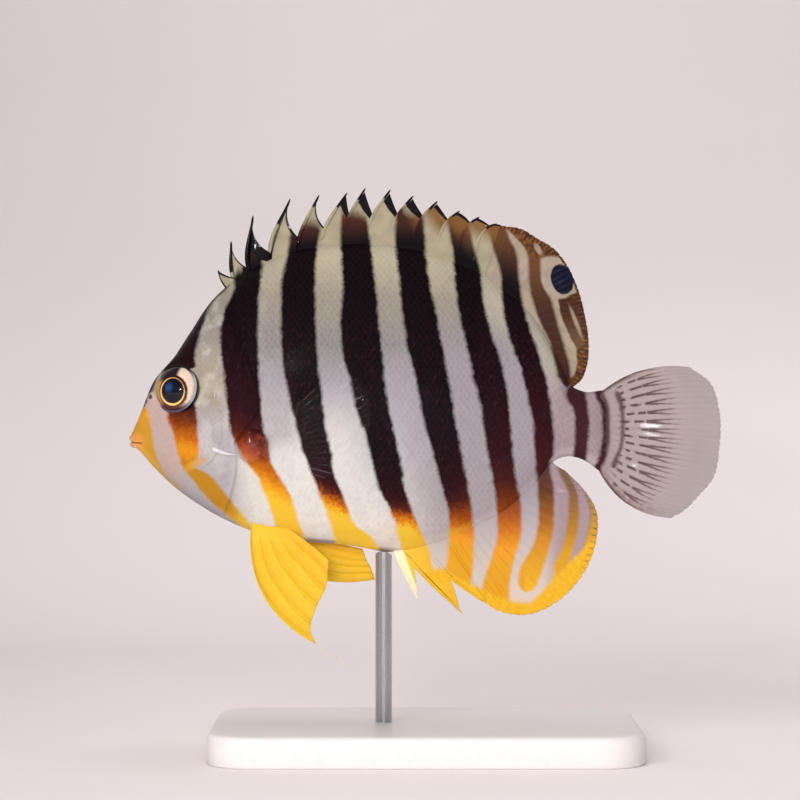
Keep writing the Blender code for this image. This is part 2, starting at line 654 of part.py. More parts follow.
def stand_base():
    """A rounded flat plate with a blind hole for the rod."""
    length, width, height = BASE_SIZE
    outline = []
    for corner in range(4):
        turn = corner * math.pi / 2
        middle_x = (length / 2 - BASE_CORNER) * (1 if corner in (0, 3) else -1)
        middle_y = (width / 2 - BASE_CORNER) * (1 if corner in (0, 1) else -1)
        for step in np.linspace(turn, turn + math.pi / 2, 6):
            round_x, round_y = BASE_CORNER * math.cos(step), BASE_CORNER * math.sin(step)
            outline.append((middle_x + round_x, middle_y + round_y))
    shrink = np.array([1 - 2 * BASE_BEVEL / length, 1 - 2 * BASE_BEVEL / width])
    outline = np.array(outline)
    layers = [(outline, 0), (outline, height - BASE_BEVEL), (outline * shrink, height)]
    points = np.concatenate([np.column_stack([ring, np.full(len(ring), z)]) for ring, z in layers])
    count = len(outline)
    faces = rings_to_faces(3, count)
    faces += [tuple(range(count)), tuple(range(3 * count - 1, 2 * count - 1, -1))]
    made = place("stand_base", points, faces)
    hole = tube(
        "hole", [(ROD_X, 0, ROD_FOOT_Z - GAP), (ROD_X, 0, height + 2)], ROD_RADIUS + GAP, 16
    )
    return merge(made, [hole], "DIFFERENCE")


def stand_rod():
    """A round bar from inside the plate up to the belly, its top cut to the belly's curve."""
    sides = 16
    turns = (np.arange(sides) + 0.5) * 2 * math.pi / sides
    circle = np.column_stack([ROD_X + ROD_RADIUS * np.cos(turns), ROD_RADIUS * np.sin(turns)])
    inner = (circle - (ROD_X, 0)) * 0.5 + (ROD_X, 0)
    rings = [np.column_stack([circle, np.full(sides, ROD_FOOT_Z)])]
    for ring in (circle, inner):
        top = [keel(x, y, False) - GAP - 0.02 for x, y in ring]
        rings.append(np.column_stack([ring, top]))
    points = np.concatenate(rings)
    faces = rings_to_faces(3, sides)
    faces += [tuple(range(sides)), tuple(range(3 * sides - 1, 2 * sides - 1, -1))]
    return place("stand_rod", points, faces)


def build():
    clear_scene()
    left, right = np.asarray, mirrored
    skin = material("barred_skin", (0.62, 0.58, 0.56), 0.35)
    spiny = material("dorsal_brown", (0.28, 0.2, 0.16), 0.4)
    soft = material("soft_dorsal_brown", (0.36, 0.25, 0.17), 0.4)
    yellow = material("fin_yellow", (0.82, 0.56, 0.12), 0.4)
    clear = material("clear_fin", (0.66, 0.6, 0.58), 0.3)
    iris = material("eye_dark", (0.08, 0.03, 0.03), 0.08)
    plate = material("stand_plate", (0.72, 0.71, 0.7), 0.45)
    steel = material("stand_steel", (0.6, 0.6, 0.6), 0.3, 1.0)
    pieces = [
        (head(), skin), (torso(), skin), (tail_stalk(), skin),
        (eye("eye_left", left), iris), (eye("eye_right", right), iris),
        (spiny_dorsal(), spiny),
        (soft_fin("fin_dorsal_soft", SOFT_DORSAL_ROOT, True, SOFT_DORSAL_MARGIN, DORSAL_RAYS), soft),
        (anal(), yellow), (caudal(), clear),
        (pectoral("fin_pectoral_left", left), clear), (pectoral("fin_pectoral_right", right), clear),
        (left_pelvic(), yellow),
        (pelvic("fin_pelvic_right", 1, RIGHT_PELVIC_MARGIN, RIGHT_PELVIC_BOWS), yellow),
        (stand_base(), plate), (stand_rod(), steel),
    ]
    model = bpy.data.objects.new("angelfish_model", None)
    bpy.context.scene.collection.objects.link(model)
    for piece, finish in pieces:
        piece.parent = model
        piece.data.materials.clear()
        piece.data.materials.append(finish)
        piece.data.shade_smooth()
        piece.data.set_sharp_from_angle(angle=math.radians(35))


build()
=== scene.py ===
import math

import bpy
import numpy as np
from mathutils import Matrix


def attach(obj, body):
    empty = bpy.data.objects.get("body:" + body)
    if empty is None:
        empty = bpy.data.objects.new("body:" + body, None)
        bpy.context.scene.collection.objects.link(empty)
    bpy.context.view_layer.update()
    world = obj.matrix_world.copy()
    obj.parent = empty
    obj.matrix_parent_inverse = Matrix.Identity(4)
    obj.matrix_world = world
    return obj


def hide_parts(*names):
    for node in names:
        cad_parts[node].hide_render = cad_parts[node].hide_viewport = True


# A life-size multibarred angelfish on a plain display stand: its looks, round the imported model.
# The head faces -X, the left flank looks along -Y, the back is up. Shapes are in millimetres.

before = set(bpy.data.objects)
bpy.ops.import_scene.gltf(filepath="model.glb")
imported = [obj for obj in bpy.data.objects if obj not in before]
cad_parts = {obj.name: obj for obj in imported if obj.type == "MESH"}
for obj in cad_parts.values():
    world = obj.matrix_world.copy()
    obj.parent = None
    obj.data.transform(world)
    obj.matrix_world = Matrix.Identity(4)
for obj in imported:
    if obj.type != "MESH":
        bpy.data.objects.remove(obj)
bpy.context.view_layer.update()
mm = 0.001
dice = np.random.default_rng(20)


# Curves and small tools

def smoothLine(points):
    # value at x of a cubic between neighbouring points, with the mean slope around each point
    xs, ys = np.array(points, float).T
    slopes = np.gradient(ys, xs)

    def at(x):
        x = np.clip(x, xs[0], xs[-1])
        i = np.clip(np.searchsorted(xs, x) - 1, 0, len(xs) - 2)
        step = xs[i + 1] - xs[i]
        u = (x - xs[i]) / step
        start = (1 + 2 * u) * (1 - u) ** 2 * ys[i] + u * (1 - u) ** 2 * step * slopes[i]
        return start + u * u * (3 - 2 * u) * ys[i + 1] + u * u * (u - 1) * step * slopes[i + 1]

    return at


def alongLine(points, shares):
    # points at shares of the length of a rounded line through the given points
    points = np.array(points, float)
    length = np.concatenate([[0], np.cumsum(np.linalg.norm(np.diff(points, axis=0), axis=1))])
    parts = [smoothLine(np.column_stack([length / length[-1], axis])) for axis in points.T]
    return np.stack([part(np.asarray(shares, float)) for part in parts], axis=-1)


def ease(value, low, high):
    # 0 at low, 1 at high, smooth between
    u = np.clip((value - low) / (high - low), 0, 1)
    return u * u * (3 - 2 * u)


def faded(value, fades):
    # 1 between two fades, each given as where it is 0 and where it is 1
    first, last = fades
    return ease(value, *first) * ease(value, *last)


def unit(vectors):
    # vectors at length 1
    return vectors / np.maximum(np.linalg.norm(vectors, axis=-1, keepdims=True), 1e-9)


def lineLengths(grid):
    # distance along each row of a grid of points, from its start
    steps = np.linalg.norm(np.diff(grid, axis=1), axis=-1)
    return np.concatenate([np.zeros((len(grid), 1)), np.cumsum(steps, axis=1)], axis=1)


def mirrored(points):
    # the same points on the other flank
    return np.asarray(points) * (1, -1, 1)


def gridFaces(rows, columns, closeRows=False, closeColumns=False):
    # quads of a grid whose point (i, j) has the index i * columns + j
    i = np.arange(rows if closeRows else rows - 1)
    j = np.arange(columns if closeColumns else columns - 1)
    i, j = (part.ravel() for part in np.meshgrid(i, j, indexing="ij"))
    down, right = (i + 1) % rows, (j + 1) % columns
    return np.stack([i * columns + j, down * columns + j, down * columns + right, i * columns + right], -1)


def closedGrid(rings, first, last):
    # points and faces of a grid that is closed round its columns, with a point that closes each end
    rows, columns = rings.shape[:2]
    points = np.concatenate([rings.reshape(-1, 3), [first, last]])
    ring = np.arange(columns)
    following, end = np.roll(ring, -1), (rows - 1) * columns
    start = np.stack([ring, following, np.full(columns, len(points) - 2)], -1)
    stop = np.stack([end + following, end + ring, np.full(columns, len(points) - 1)], -1)
    return points, [gridFaces(rows, columns, closeColumns=True), np.concatenate([start, stop])]


def volumeOf(points, faceSets):
    # six times the volume inside the faces, negative where they point inwards
    total = 0.0
    for faces in faceSets:
        for k in range(1, faces.shape[1] - 1):
            a, b, c = points[faces[:, 0]], points[faces[:, k]], points[faces[:, k + 1]]
            total += np.einsum("ij,ij->i", a, np.cross(b, c)).sum()
    return total


def buildMesh(name, points, faceSets, finish, attributes=None, uvs=None, creased=None):
    # a smooth mesh from arrays of points (in millimetres) and of faces, turned to point outwards;
    # an edge between two creased points stays sharp
    points = np.asarray(points, float)
    if volumeOf(points, faceSets) < 0:
        faceSets = [faces[:, ::-1] for faces in faceSets]
    corners = np.concatenate([faces.ravel() for faces in faceSets]).astype(np.int32)
    sizes = np.concatenate([np.full(len(faces), faces.shape[1]) for faces in faceSets])
    starts = np.concatenate([[0], np.cumsum(sizes)[:-1]]).astype(np.int32)
    mesh = bpy.data.meshes.new(name)
    mesh.vertices.add(len(points))
    mesh.vertices.foreach_set("co", (points * mm).astype(np.float32).ravel())
    mesh.loops.add(len(corners))
    mesh.loops.foreach_set("vertex_index", corners)
    mesh.polygons.add(len(starts))
    mesh.polygons.foreach_set("loop_start", starts)
    mesh.update(calc_edges=True)
    mesh.shade_smooth()
    if creased is not None:
        ends = np.empty(2 * len(mesh.edges), np.int32)
        mesh.edges.foreach_get("vertices", ends)
        sharp = creased[ends.reshape(-1, 2)].all(axis=1)
        mesh.attributes.new("sharp_edge", "BOOLEAN", "EDGE").data.foreach_set("value", sharp)
    for label, values in (attributes or {}).items():
        values = np.asarray(values, np.float32)
        kind, field = ("FLOAT_VECTOR", "vector") if values.ndim == 2 else ("FLOAT", "value")
        mesh.attributes.new(label, kind, "POINT").data.foreach_set(field, values.ravel())
    if uvs is not None:
        layer = mesh.uv_layers.new(name="OFBake")
        layer.data.foreach_set("uv", np.asarray(uvs, np.float32)[corners].ravel())
    mesh.materials.append(finish)
    thing = bpy.data.objects.new(name, mesh)
    bpy.context.scene.collection.objects.link(thing)
    return thing


def tubeParts(path, radii, across, sides=14, squash=1.0):
    # a closed tapering bar: ring i stands square to the path, radii[i] wide and squash times as deep
    path = np.asarray(path, float)
    ahead = unit(np.gradient(path, axis=0))
    first = unit(np.cross(ahead, np.asarray(across, float)))
    second = np.cross(ahead, first)
    turns = np.arange(sides) * 2 * math.pi / sides
    radii = np.broadcast_to(np.asarray(radii, float), len(path))[:, None, None]
    wide = np.cos(turns)[None, :, None] * first[:, None]
    deep = np.sin(turns)[None, :, None] * second[:, None]
    rings = path[:, None] + radii * (wide + squash * deep)
    return closedGrid(rings, *rings[[0, -1]].mean(axis=1))


def joinParts(parts):
    # several (points, faceSets) as one
    points, quads, triangles, start = [], [], [], 0
    for spots, faceSets in parts:
        if volumeOf(spots, faceSets) < 0:
            faceSets = [faces[:, ::-1] for faces in faceSets]
        for faces in faceSets:
            (quads if faces.shape[1] == 4 else triangles).append(faces + start)
        points.append(spots)
        start += len(spots)
    faceSets = [np.concatenate(sets) for sets in (quads, triangles) if sets]
    return np.concatenate(points), faceSets


sides = dict(left=np.asarray, right=mirrored)


# Shader nodes written as sums

def paint(red, green, blue):
    # screen values 0 to 255 to the shader's linear ones
    parts = [value / 255 for value in (red, green, blue)]
    return tuple(v / 12.92 if v <= 0.04045 else ((v + 0.055) / 1.055) ** 2.4 for v in parts) + (1.0,)


class Wire:
    # a socket that takes part in sums; each sum adds its Math node
    def __init__(self, kit, socket):
        self.kit, self.socket = kit, socket

    def __add__(self, other):
        return self.kit.sum("ADD", self, other)

    def __radd__(self, other):
        return self.kit.sum("ADD", other, self)

    def __sub__(self, other):
        return self.kit.sum("SUBTRACT", self, other)

    def __rsub__(self, other):
        return self.kit.sum("SUBTRACT", other, self)

    def __mul__(self, other):
        return self.kit.sum("MULTIPLY", self, other)

    def __rmul__(self, other):
        return self.kit.sum("MULTIPLY", other, self)

    def __truediv__(self, other):
        return self.kit.sum("DIVIDE", self, other)

    def __abs__(self):
        return self.kit.sum("ABSOLUTE", self)

    def least(self, other):
        return self.kit.sum("MINIMUM", self, other)

    def most(self, other):
        return self.kit.sum("MAXIMUM", self, other)

    def wave(self):
        return self.kit.sum("SINE", self)

    def nearest(self):
        return self.kit.sum("FLOOR", self + 0.5)

    def step(self, low, high):
        # a smooth rise from 0 at low to 1 at high, or a fall where low is above high
        settings, values = {"interpolation_type": "SMOOTHSTEP"}, {0: self, 1: low, 2: high}
        return self.kit.wire("ShaderNodeMapRange", settings, values)

    def stained(self, share, colour):
        # this colour with a share of another one over it
        return self.kit.mix(share, self, colour)


class Tree:
    # the nodes and links of a material or of the world
    def __init__(self, tree):
        self.tree = tree

    def get(self, kind, settings=None, values=None):
        # a node of one type with its settings, and with values or links at its sockets
        made = self.tree.nodes.new(kind)
        for label, value in (settings or {}).items():
            setattr(made, label, value)
        for label, value in (values or {}).items():
            if isinstance(value, Wire):
                self.tree.links.new(value.socket, made.inputs[label])
            else:
                made.inputs[label].default_value = value
        return made

    def wire(self, kind, settings=None, values=None, output=0):
        return Wire(self, self.get(kind, settings, values).outputs[output])


class Kit(Tree):
    # one material and the few kinds of node it is made of
    def __init__(self, name, roughness=0.4, coat=0.0, coatRoughness=0.08, metallic=0.0, shine=0.5):
        self.material = bpy.data.materials.new(name)
        self.material.use_nodes = True
        super().__init__(self.material.node_tree)
        self.shader = self.tree.nodes["Principled BSDF"]
        fixed = {
            "Roughness": roughness, "Coat Weight": coat, "Coat Roughness": coatRoughness,
            "Metallic": metallic, "Specular IOR Level": shine,
        }
        for label, value in fixed.items():
            self.shader.inputs[label].default_value = value
        self.place = self.wire("ShaderNodeTexCoord", output="Object")
        x, y, z = self.split(self.place)
        self.x, self.y, self.z = x * 1000, y * 1000, z * 1000

    def sum(self, operation, first, second=None):
        values = {0: first} if second is None else {0: first, 1: second}
        return self.wire("ShaderNodeMath", {"operation": operation}, values)

    def reach(self, first, second):
        # length of a step that goes so far one way and so far square to it
        return self.sum("SQRT", first * first + second * second)

    def split(self, vector):
        made = self.get("ShaderNodeSeparateXYZ", values={0: vector})
        return [Wire(self, made.outputs[k]) for k in range(3)]

    def attribute(self, label):
        # the three values that a mesh carries under this name
        return self.split(self.wire("ShaderNodeAttribute", {"attribute_name": label}, output="Vector"))

    def noise(self, perMm, detail=2.0, rough=0.55, stretch=None):
        # soft noise round 0.5, by how many of its waves there are in a mm
        vector = self.place
        if stretch:
            vector = self.wire("ShaderNodeMapping", values={"Vector": vector, "Scale": stretch})
        values = {"Vector": vector, "Scale": perMm * 1000, "Detail": detail, "Roughness": rough}
        return self.wire("ShaderNodeTexNoise", values=values)

    def strokes(self, tilt, along, across):
        # noise drawn out along a line of the side view that leans by tilt degrees from upright
        turn = math.radians(tilt)
        up = self.z * math.cos(turn) - self.x * math.sin(turn)
        side = self.x * math.cos(turn) + self.z * math.sin(turn)
        parts = {0: side * across, 1: self.y * across, 2: up * along}
        vector = self.wire("ShaderNodeCombineXYZ", values=parts)
        values = {"Vector": vector, "Scale": 1.0, "Detail": 1.0}
        return self.wire("ShaderNodeTexNoise", values=values)

    def chance(self, value):
        # a number of its own for each value
        return self.wire("ShaderNodeTexWhiteNoise", {"noise_dimensions": "1D"}, {"W": value})

    def mix(self, share, low, high):
        # low and high are colours, as wires or as three screen values
        low, high = (paint(*colour) if isinstance(colour, tuple) else colour for colour in (low, high))
        return self.wire("ShaderNodeMix", {"data_type": "RGBA"}, {0: share, 6: low, 7: high}, 2)

    def curve(self, value, points, low, high, start, end):
        # a smooth line through (value, result) points, for values low..high and results start..end
        made = self.get("ShaderNodeFloatCurve", values={1: (value - low) / (high - low)})
        line = made.mapping.curves[0]
        spots = sorted(((v - low) / (high - low), (r - start) / (end - start)) for v, r in points)
        line.points[0].location, line.points[1].location = spots[0], spots[-1]
        for spot in spots[1:-1]:
            line.points.new(*spot)
        for point in line.points:
            point.handle_type = "AUTO_CLAMPED"
        made.mapping.extend = "HORIZONTAL"
        made.mapping.use_clip = False
        made.mapping.update()
        return Wire(self, made.outputs[0]) * (end - start) + start

    def heightLine(self, height, points):
        # x of a line down the side view, by height
        return self.curve(height, points, 0.0, 80.0, -62.0, 40.0)

    def lengthLine(self, value, points):
        # height of a line along the side view, by x
        return self.curve(value, points, -40.0, 40.0, 0.0, 80.0)

    def ramp(self, value, stops):
        # colours at values, mixed between
        low, high = stops[0][0], stops[-1][0]
        made = self.get("ShaderNodeValToRGB", values={0: (value - low) / (high - low)})
        line = made.color_ramp
        while len(line.elements) < len(stops):
            line.elements.new(1.0)
        for element, (spot, colour) in zip(line.elements, stops):
            element.position, element.color = (spot - low) / (high - low), paint(*colour)
        return Wire(self, made.outputs[0])

    def ellipse(self, x, z, long, short, tilt):
        # distance from a spot in its own sizes, 1 on its edge; tilt turns the long axis from upright
        turn = math.radians(tilt)
        dx, dz = self.x - x, self.z - z
        along = (dz * math.cos(turn) - dx * math.sin(turn)) / long
        side = (dx * math.cos(turn) + dz * math.sin(turn)) / short
        return self.reach(along, side)

    def feed(self, label, wire):
        self.tree.links.new(wire.socket, self.shader.inputs[label])

    def finish(self, colour, height=None, depthMm=0.02, strength=0.5):
        # the material with its colour and a fine relief of the given depth
        height = height or self.noise(5.0, 2)
        self.feed("Base Color", colour)
        values = {"Height": height, "Distance": depthMm * mm, "Strength": strength}
        self.feed("Normal", self.wire("ShaderNodeBump", values=values))
        return self.material


# Markings: the bars of the flanks and fins, read as (z, front x, rear x) down each bar

bars = dict(
    nape=[
        (63, -60, -24.9), (61.6, -60, -25.7), (60.5, -60, -26.6), (59.1, -60, -28.1), (57.5, -60, -28.8),
        (54.9, -60, -29.7), (52.2, -60, -30.3), (50.9, -60, -30.2), (50.2, -60, -32), (49.6, -60, -62),
    ],
    snout=[
        (46.6, -60, -62), (46, -60, -38), (45.4, -60, -36.9), (44.2, -60, -36.4), (41.7, -60, -36),
        (38.4, -60, -35.3), (36.8, -60, -34.5), (35.8, -60, -33.7), (34.7, -60, -32.7),
        (34.2, -60, -33.5), (33.6, -60, -62),
    ],
    underEye=[
        (47, -31, -33), (46, -33.9, -30.6), (44.5, -34, -30.2), (42.9, -33.5, -30), (41, -33, -29.9),
        (39.5, -32.6, -29.8), (38.4, -32.3, -30.1), (37.8, -32.2, -30.5), (37.2, -31.8, -29.8),
        (36.8, -31.5, -28.9), (35.8, -30.7, -27.8), (34.2, -29.4, -26.5), (32.6, -27.8, -25.2),
        (31, -26, -23.9), (29.7, -24.4, -23.1), (28.6, -23.4, -23),
    ],
    shoulder=[
        (65.5, -24, -21.4), (62.8, -25, -21.6), (60.8, -25.3, -21.8), (58.2, -26.4, -22),
        (54.2, -27, -22), (49.6, -26.5, -21.9), (45.7, -26.1, -21.6), (42.4, -25.7, -21.3),
        (40.8, -25.1, -20.7), (38.6, -23.8, -20.5), (36.4, -22.3, -19.3), (34.6, -21.5, -18.2),
        (32.4, -20.6, -17.4), (29.5, -19.7, -16.4), (26, -19, -15.4),
    ],
    third=[
        (74, -17.4, -13.2), (68, -17.8, -13.9), (66, -18.1, -14.3), (60.8, -19, -14.5),
        (54.2, -19, -14.3), (50, -18.6, -14), (46, -17.8, -13.5), (42.4, -16.9, -13.1),
        (39.1, -15.9, -12.4), (36.4, -14.9, -11.9), (34.1, -14.1, -11), (31.7, -13.1, -10.1),
        (29.8, -12.4, -9.2), (28.2, -12, -7), (26.5, -11.8, -6),
    ],
    fourth=[
        (75, -10.9, -8), (70.7, -11.1, -7.8), (68, -11.2, -7.4), (60.8, -10.9, -6.5), (56.2, -11.2, -6.1),
        (52.2, -10.9, -5.7), (50.3, -10.3, -5.5), (45, -9.1, -4.8), (41.3, -7.8, -3.9),
        (37.6, -6.9, -3.1), (34.2, -5.9, -2.6), (31.3, -4.4, -1.5), (28.5, -3.6, -0.4), (26.4, -3.2, 0.5),
        (24, -3.6, 0.9), (18, -4.5, 2),
    ],
    fifth=[
        (75, -3.9, -0.6), (70.7, -3.8, -0.3), (68, -4, -0.1), (63.4, -3.6, 0.3), (58.2, -3.1, 1.3),
        (52.9, -2.3, 2.3), (50.3, -1.6, 2.8), (43.7, -0.3, 3.9), (39.6, 0.9, 4.7), (35.3, 2, 5.5),
        (31.7, 3, 6.1), (28.5, 3.1, 6.4), (24, 2.6, 6.2), (21, 2, 5.8),
    ],
    sixth=[
        (75, 2.4, 5), (68, 3.2, 6), (66, 3.6, 6.5), (63.4, 3.8, 7.2), (58.2, 4.3, 7.8), (52.9, 5.5, 9.4),
        (50.3, 6.1, 10.2), (43.7, 7.6, 11.2), (39.6, 8.1, 11.5), (35.7, 8.9, 11.9), (32.4, 9.4, 12.6),
        (29.2, 9.5, 12.6), (25.9, 8.8, 11.8), (22.6, 7.7, 11.1), (19.5, 7.1, 11),
    ],
    seventh=[
        (72, 7.8, 10), (67.4, 8.6, 11.1), (66, 9, 11.9), (63.4, 9.8, 12.2), (58.2, 10.2, 13),
        (52.9, 11.6, 14.7), (50.3, 12.6, 15.5), (46.3, 13.5, 16.4), (43.7, 14.1, 16.8),
        (39.6, 14.4, 16.9), (37.6, 14.5, 16.4), (34.1, 14.8, 16.9), (30.8, 14.9, 16.9),
        (28.8, 14.6, 16.8), (27, 14.1, 16.3), (24.6, 12.7, 15.6), (22.6, 12.2, 14.9), (21.4, 12.6, 14.2),
        (20.8, 13.8, 12.8),
    ],
    eighth=[
        (69.4, 13, 12), (68.4, 12.2, 13.4), (66.9, 13, 14.2), (64.9, 13.5, 15.1), (62.1, 13.6, 15.3),
        (59.5, 14.1, 16.5), (56.8, 15, 17.3), (54.9, 15.9, 17.85), (52.9, 16.7, 18.45),
        (50.9, 17.1, 18.95), (48.9, 17.7, 19.2), (48, 18.4, 18.9), (47.5, 19.5, 17.5),
    ],
    stalk=[
        (48.6, 21, 18), (47.9, 18.7, 20.9), (47.4, 18.5, 21), (45, 19.4, 21.4), (42.4, 19.7, 21.5),
        (39, 19.4, 21.2), (37.9, 19.2, 21), (37.2, 20.8, 19.2),
    ],
    tailRoot=[
        (48.6, 23.5, 21.5), (48, 22, 23.2), (47.4, 22.2, 23.4), (45, 23.1, 24.2), (42.4, 23.3, 24.3),
        (40, 23.1, 24.1), (37.5, 22.2, 23.3), (36.3, 21.6, 22.8), (35.4, 23, 21.5),
    ],
    tailBase=[
        (48, 26.2, 24.4), (47.2, 24.9, 25.6), (45.5, 25.5, 26.1), (42.4, 25.7, 26.2), (40, 25.4, 25.9),
        (38.6, 24.8, 25.4), (37.6, 24.4, 25.1), (37, 25.4, 24.2),
    ],
    analRear=[
        (38.6, 18.6, 16.6), (37.6, 17.4, 18.3), (35.7, 18.1, 19.3), (33.7, 18.9, 20.1),
        (30.8, 18.7, 20.2), (27, 18, 19.5), (24.5, 16.8, 18.8),
    ],
    analEdge=[
        (36.8, 22.5, 17.5), (35.9, 19.8, 40), (34.4, 20.9, 40), (32.8, 21.4, 40), (30.8, 21.6, 40),
        (28.8, 21.3, 40), (26.6, 20.6, 40), (24, 19.6, 40), (22, 18.6, 40),
    ],
)
heights = dict(
    # by x: where a dark bar turns orange, where it turns rusty above, where the bars end in the
    # spiny fin, and below which the anal fin is all yellow
    turn=[
        (-38, 48.5), (-34.6, 48.5), (-33.8, 44), (-31.5, 43.4), (-29.5, 43.1), (-26, 41.3), (-23.5, 40.6),
        (-22, 39.8), (-20.8, 39.2), (-19.8, 38.6), (-18.5, 38), (-17, 37), (-15, 35.5), (-12.5, 34),
        (-8, 32.6), (-3, 31.7), (4, 31.6), (8, 32.7), (12, 33), (14.6, 33.2), (16, 33.2), (17.6, 33.4),
        (18.6, 33), (20, 30), (24, 28),
    ],
    rust=[
        (-28, 64.4), (-22, 65), (-18, 66.6), (-10, 67.6), (-2, 68), (3, 67.2), (6, 65.6), (8.6, 63.4),
        (11, 62.6), (12.3, 62), (13, 60.5), (13.7, 59), (15.3, 54), (16.4, 50.5), (17.5, 47.5),
        (19.2, 50), (24, 56),
    ],
    cap=[
        (-28, 75), (-26.4, 64.4), (-25.2, 63.4), (-24, 63.6), (-23.3, 75), (-18.6, 75), (-17.4, 68.4),
        (-16.2, 69.4), (-15, 69.7), (-13.2, 69), (-11, 71), (-9.6, 71), (-7.4, 70.4), (-5.2, 74),
        (-3.8, 74), (-3.2, 71.6), (-1.2, 70.6), (0.4, 72), (1.6, 75),
    ],
    fill=[
        (-6, 20), (0, 23.6), (1.7, 24.2), (4, 23), (6.5, 21.9), (9, 20.6), (11.5, 19.9), (13.5, 19.7),
        (15, 20.8), (16.5, 22.4), (18, 24), (19.7, 25.7), (21, 27), (24, 29),
    ],
)
sets = dict(
    # the bars that each part of the fish shows
    skin=("nape", "snout", "underEye", "shoulder", "third", "fourth", "fifth", "sixth", "seventh", "eighth",
          "stalk", "tailRoot", "tailBase"),
    dorsal=("shoulder", "third", "fourth", "fifth", "sixth", "seventh", "eighth"),
    anal=("fourth", "fifth", "sixth", "seventh", "analRear", "analEdge"),
    tail=("tailRoot", "tailBase"),
)
lobeRed = dict(
    # the red base of the pectoral fin, as an ellipse, and its colours by height
    place=(-22.3, 40.4, 2.3, 1.95, 0),
    glow=[(37.8, (196, 104, 26)), (39.2, (138, 48, 14)), (40.7, (92, 24, 14)), (42.4, (40, 11, 15))],
)
spur = (-30.0, 38.0, 1.7, 0.55, -63)  # pale orange wedge on the cheek, as an ellipse
hues = dict(
    orange=(204, 142, 22), yellow=(222, 178, 52), black=(14, 9, 14),
    # by height in mm on the pale skin, and by distance in mm above the height where a bar turns orange
    # partly the skin's own colours and partly painted light: darkest round 54 mm and lighter towards the
    # belly
    ground=[
        (20, (205, 186, 173)), (27, (213, 199, 183)), (30, (214, 205, 197)), (34, (196, 193, 189)),
        (40, (172, 170, 174)), (46, (153, 148, 154)), (54, (122, 117, 116)), (60, (138, 129, 111)),
        (65, (168, 158, 132)), (72, (164, 150, 130)),
    ],
    tone=[
        (-2.8, (212, 138, 24)), (-1.6, (180, 98, 18)), (-0.6, (140, 66, 14)), (0.3, (98, 42, 16)),
        (1.3, (58, 20, 18)), (3, (37, 10, 17)), (7, (22, 7, 13)), (14, (11, 6, 9)),
    ],
)


def inBar(kit, line, x, z):
    # how far inside a bar a place lies, in mm
    front, rear = (kit.heightLine(z, [(spot[0], spot[k]) for spot in line]) for k in (1, 2))
    return (x - front).least(rear - x)


stains = dict(
    # colours laid over one another: a mask or none, share, colour, steps along x and steps up z
    brown=[
        (None, 1, (60, 36, 26), [], [(66, 57)]),
        (None, 0.85, (54, 30, 24), [(13.3, 12.3), (5, 7.5)], [(68.8, 64.5)]),  # top of the seventh bar
    ],
    tone=[
        (None, 0.9, (58, 30, 36), [(16, 19)], [(52, 47)]),  # bars of the tail stalk
        ("streaks", 0.3, (84, 40, 46), [], [(60, 50)]),
    ],
    ground=[
        (None, 0.65, (214, 209, 200), [(-6, -12)], [(50, 38)]),  # low front columns
        (None, 0.6, (150, 142, 146), [(-16, -18.5)], [(39, 42), (50, 46)]),  # behind the shoulder bar
        (None, 0.9, (140, 130, 136), [(-7, 3)], [(60, 48), (14, 36)]),  # lilac of the rear columns
        ("ridge", 0.6, (178, 169, 147), [(3, 9), (18.5, 17)], []),
        (None, 0.8, (146, 122, 126), [(15, 18)], [(52, 46)]),  # tail stalk
        (None, 1, (151, 139, 121), [(-24, -28)], [(58, 50)]),  # behind the eye
        (None, 1, (163, 154, 157), [(-22, -27)], [(47, 42)]),  # cheek
        # pale mottling on the cheek: partly the skin's own patches, partly painted wet sheen
        ("mottle", 0.35, (206, 202, 190), [(-20, -24)], [(34, 40)]),
        (None, 1, (176, 150, 142), [(-30.5, -33.5)], [(50, 46)]),  # snout
    ],
)


def layered(colour, rows, masks, x, z):
    # the colour with each row's one over it, as far as its mask and all its steps let it
    for label, share, over, alongs, ups in rows:
        steps = [masks[label]] if label else []
        steps += [x.step(*pair) for pair in alongs] + [z.step(*pair) for pair in ups]
        amount = steps[0] * share
        for step in steps[1:]:
            amount = amount * step
        colour = colour.stained(amount, over)
    return colour


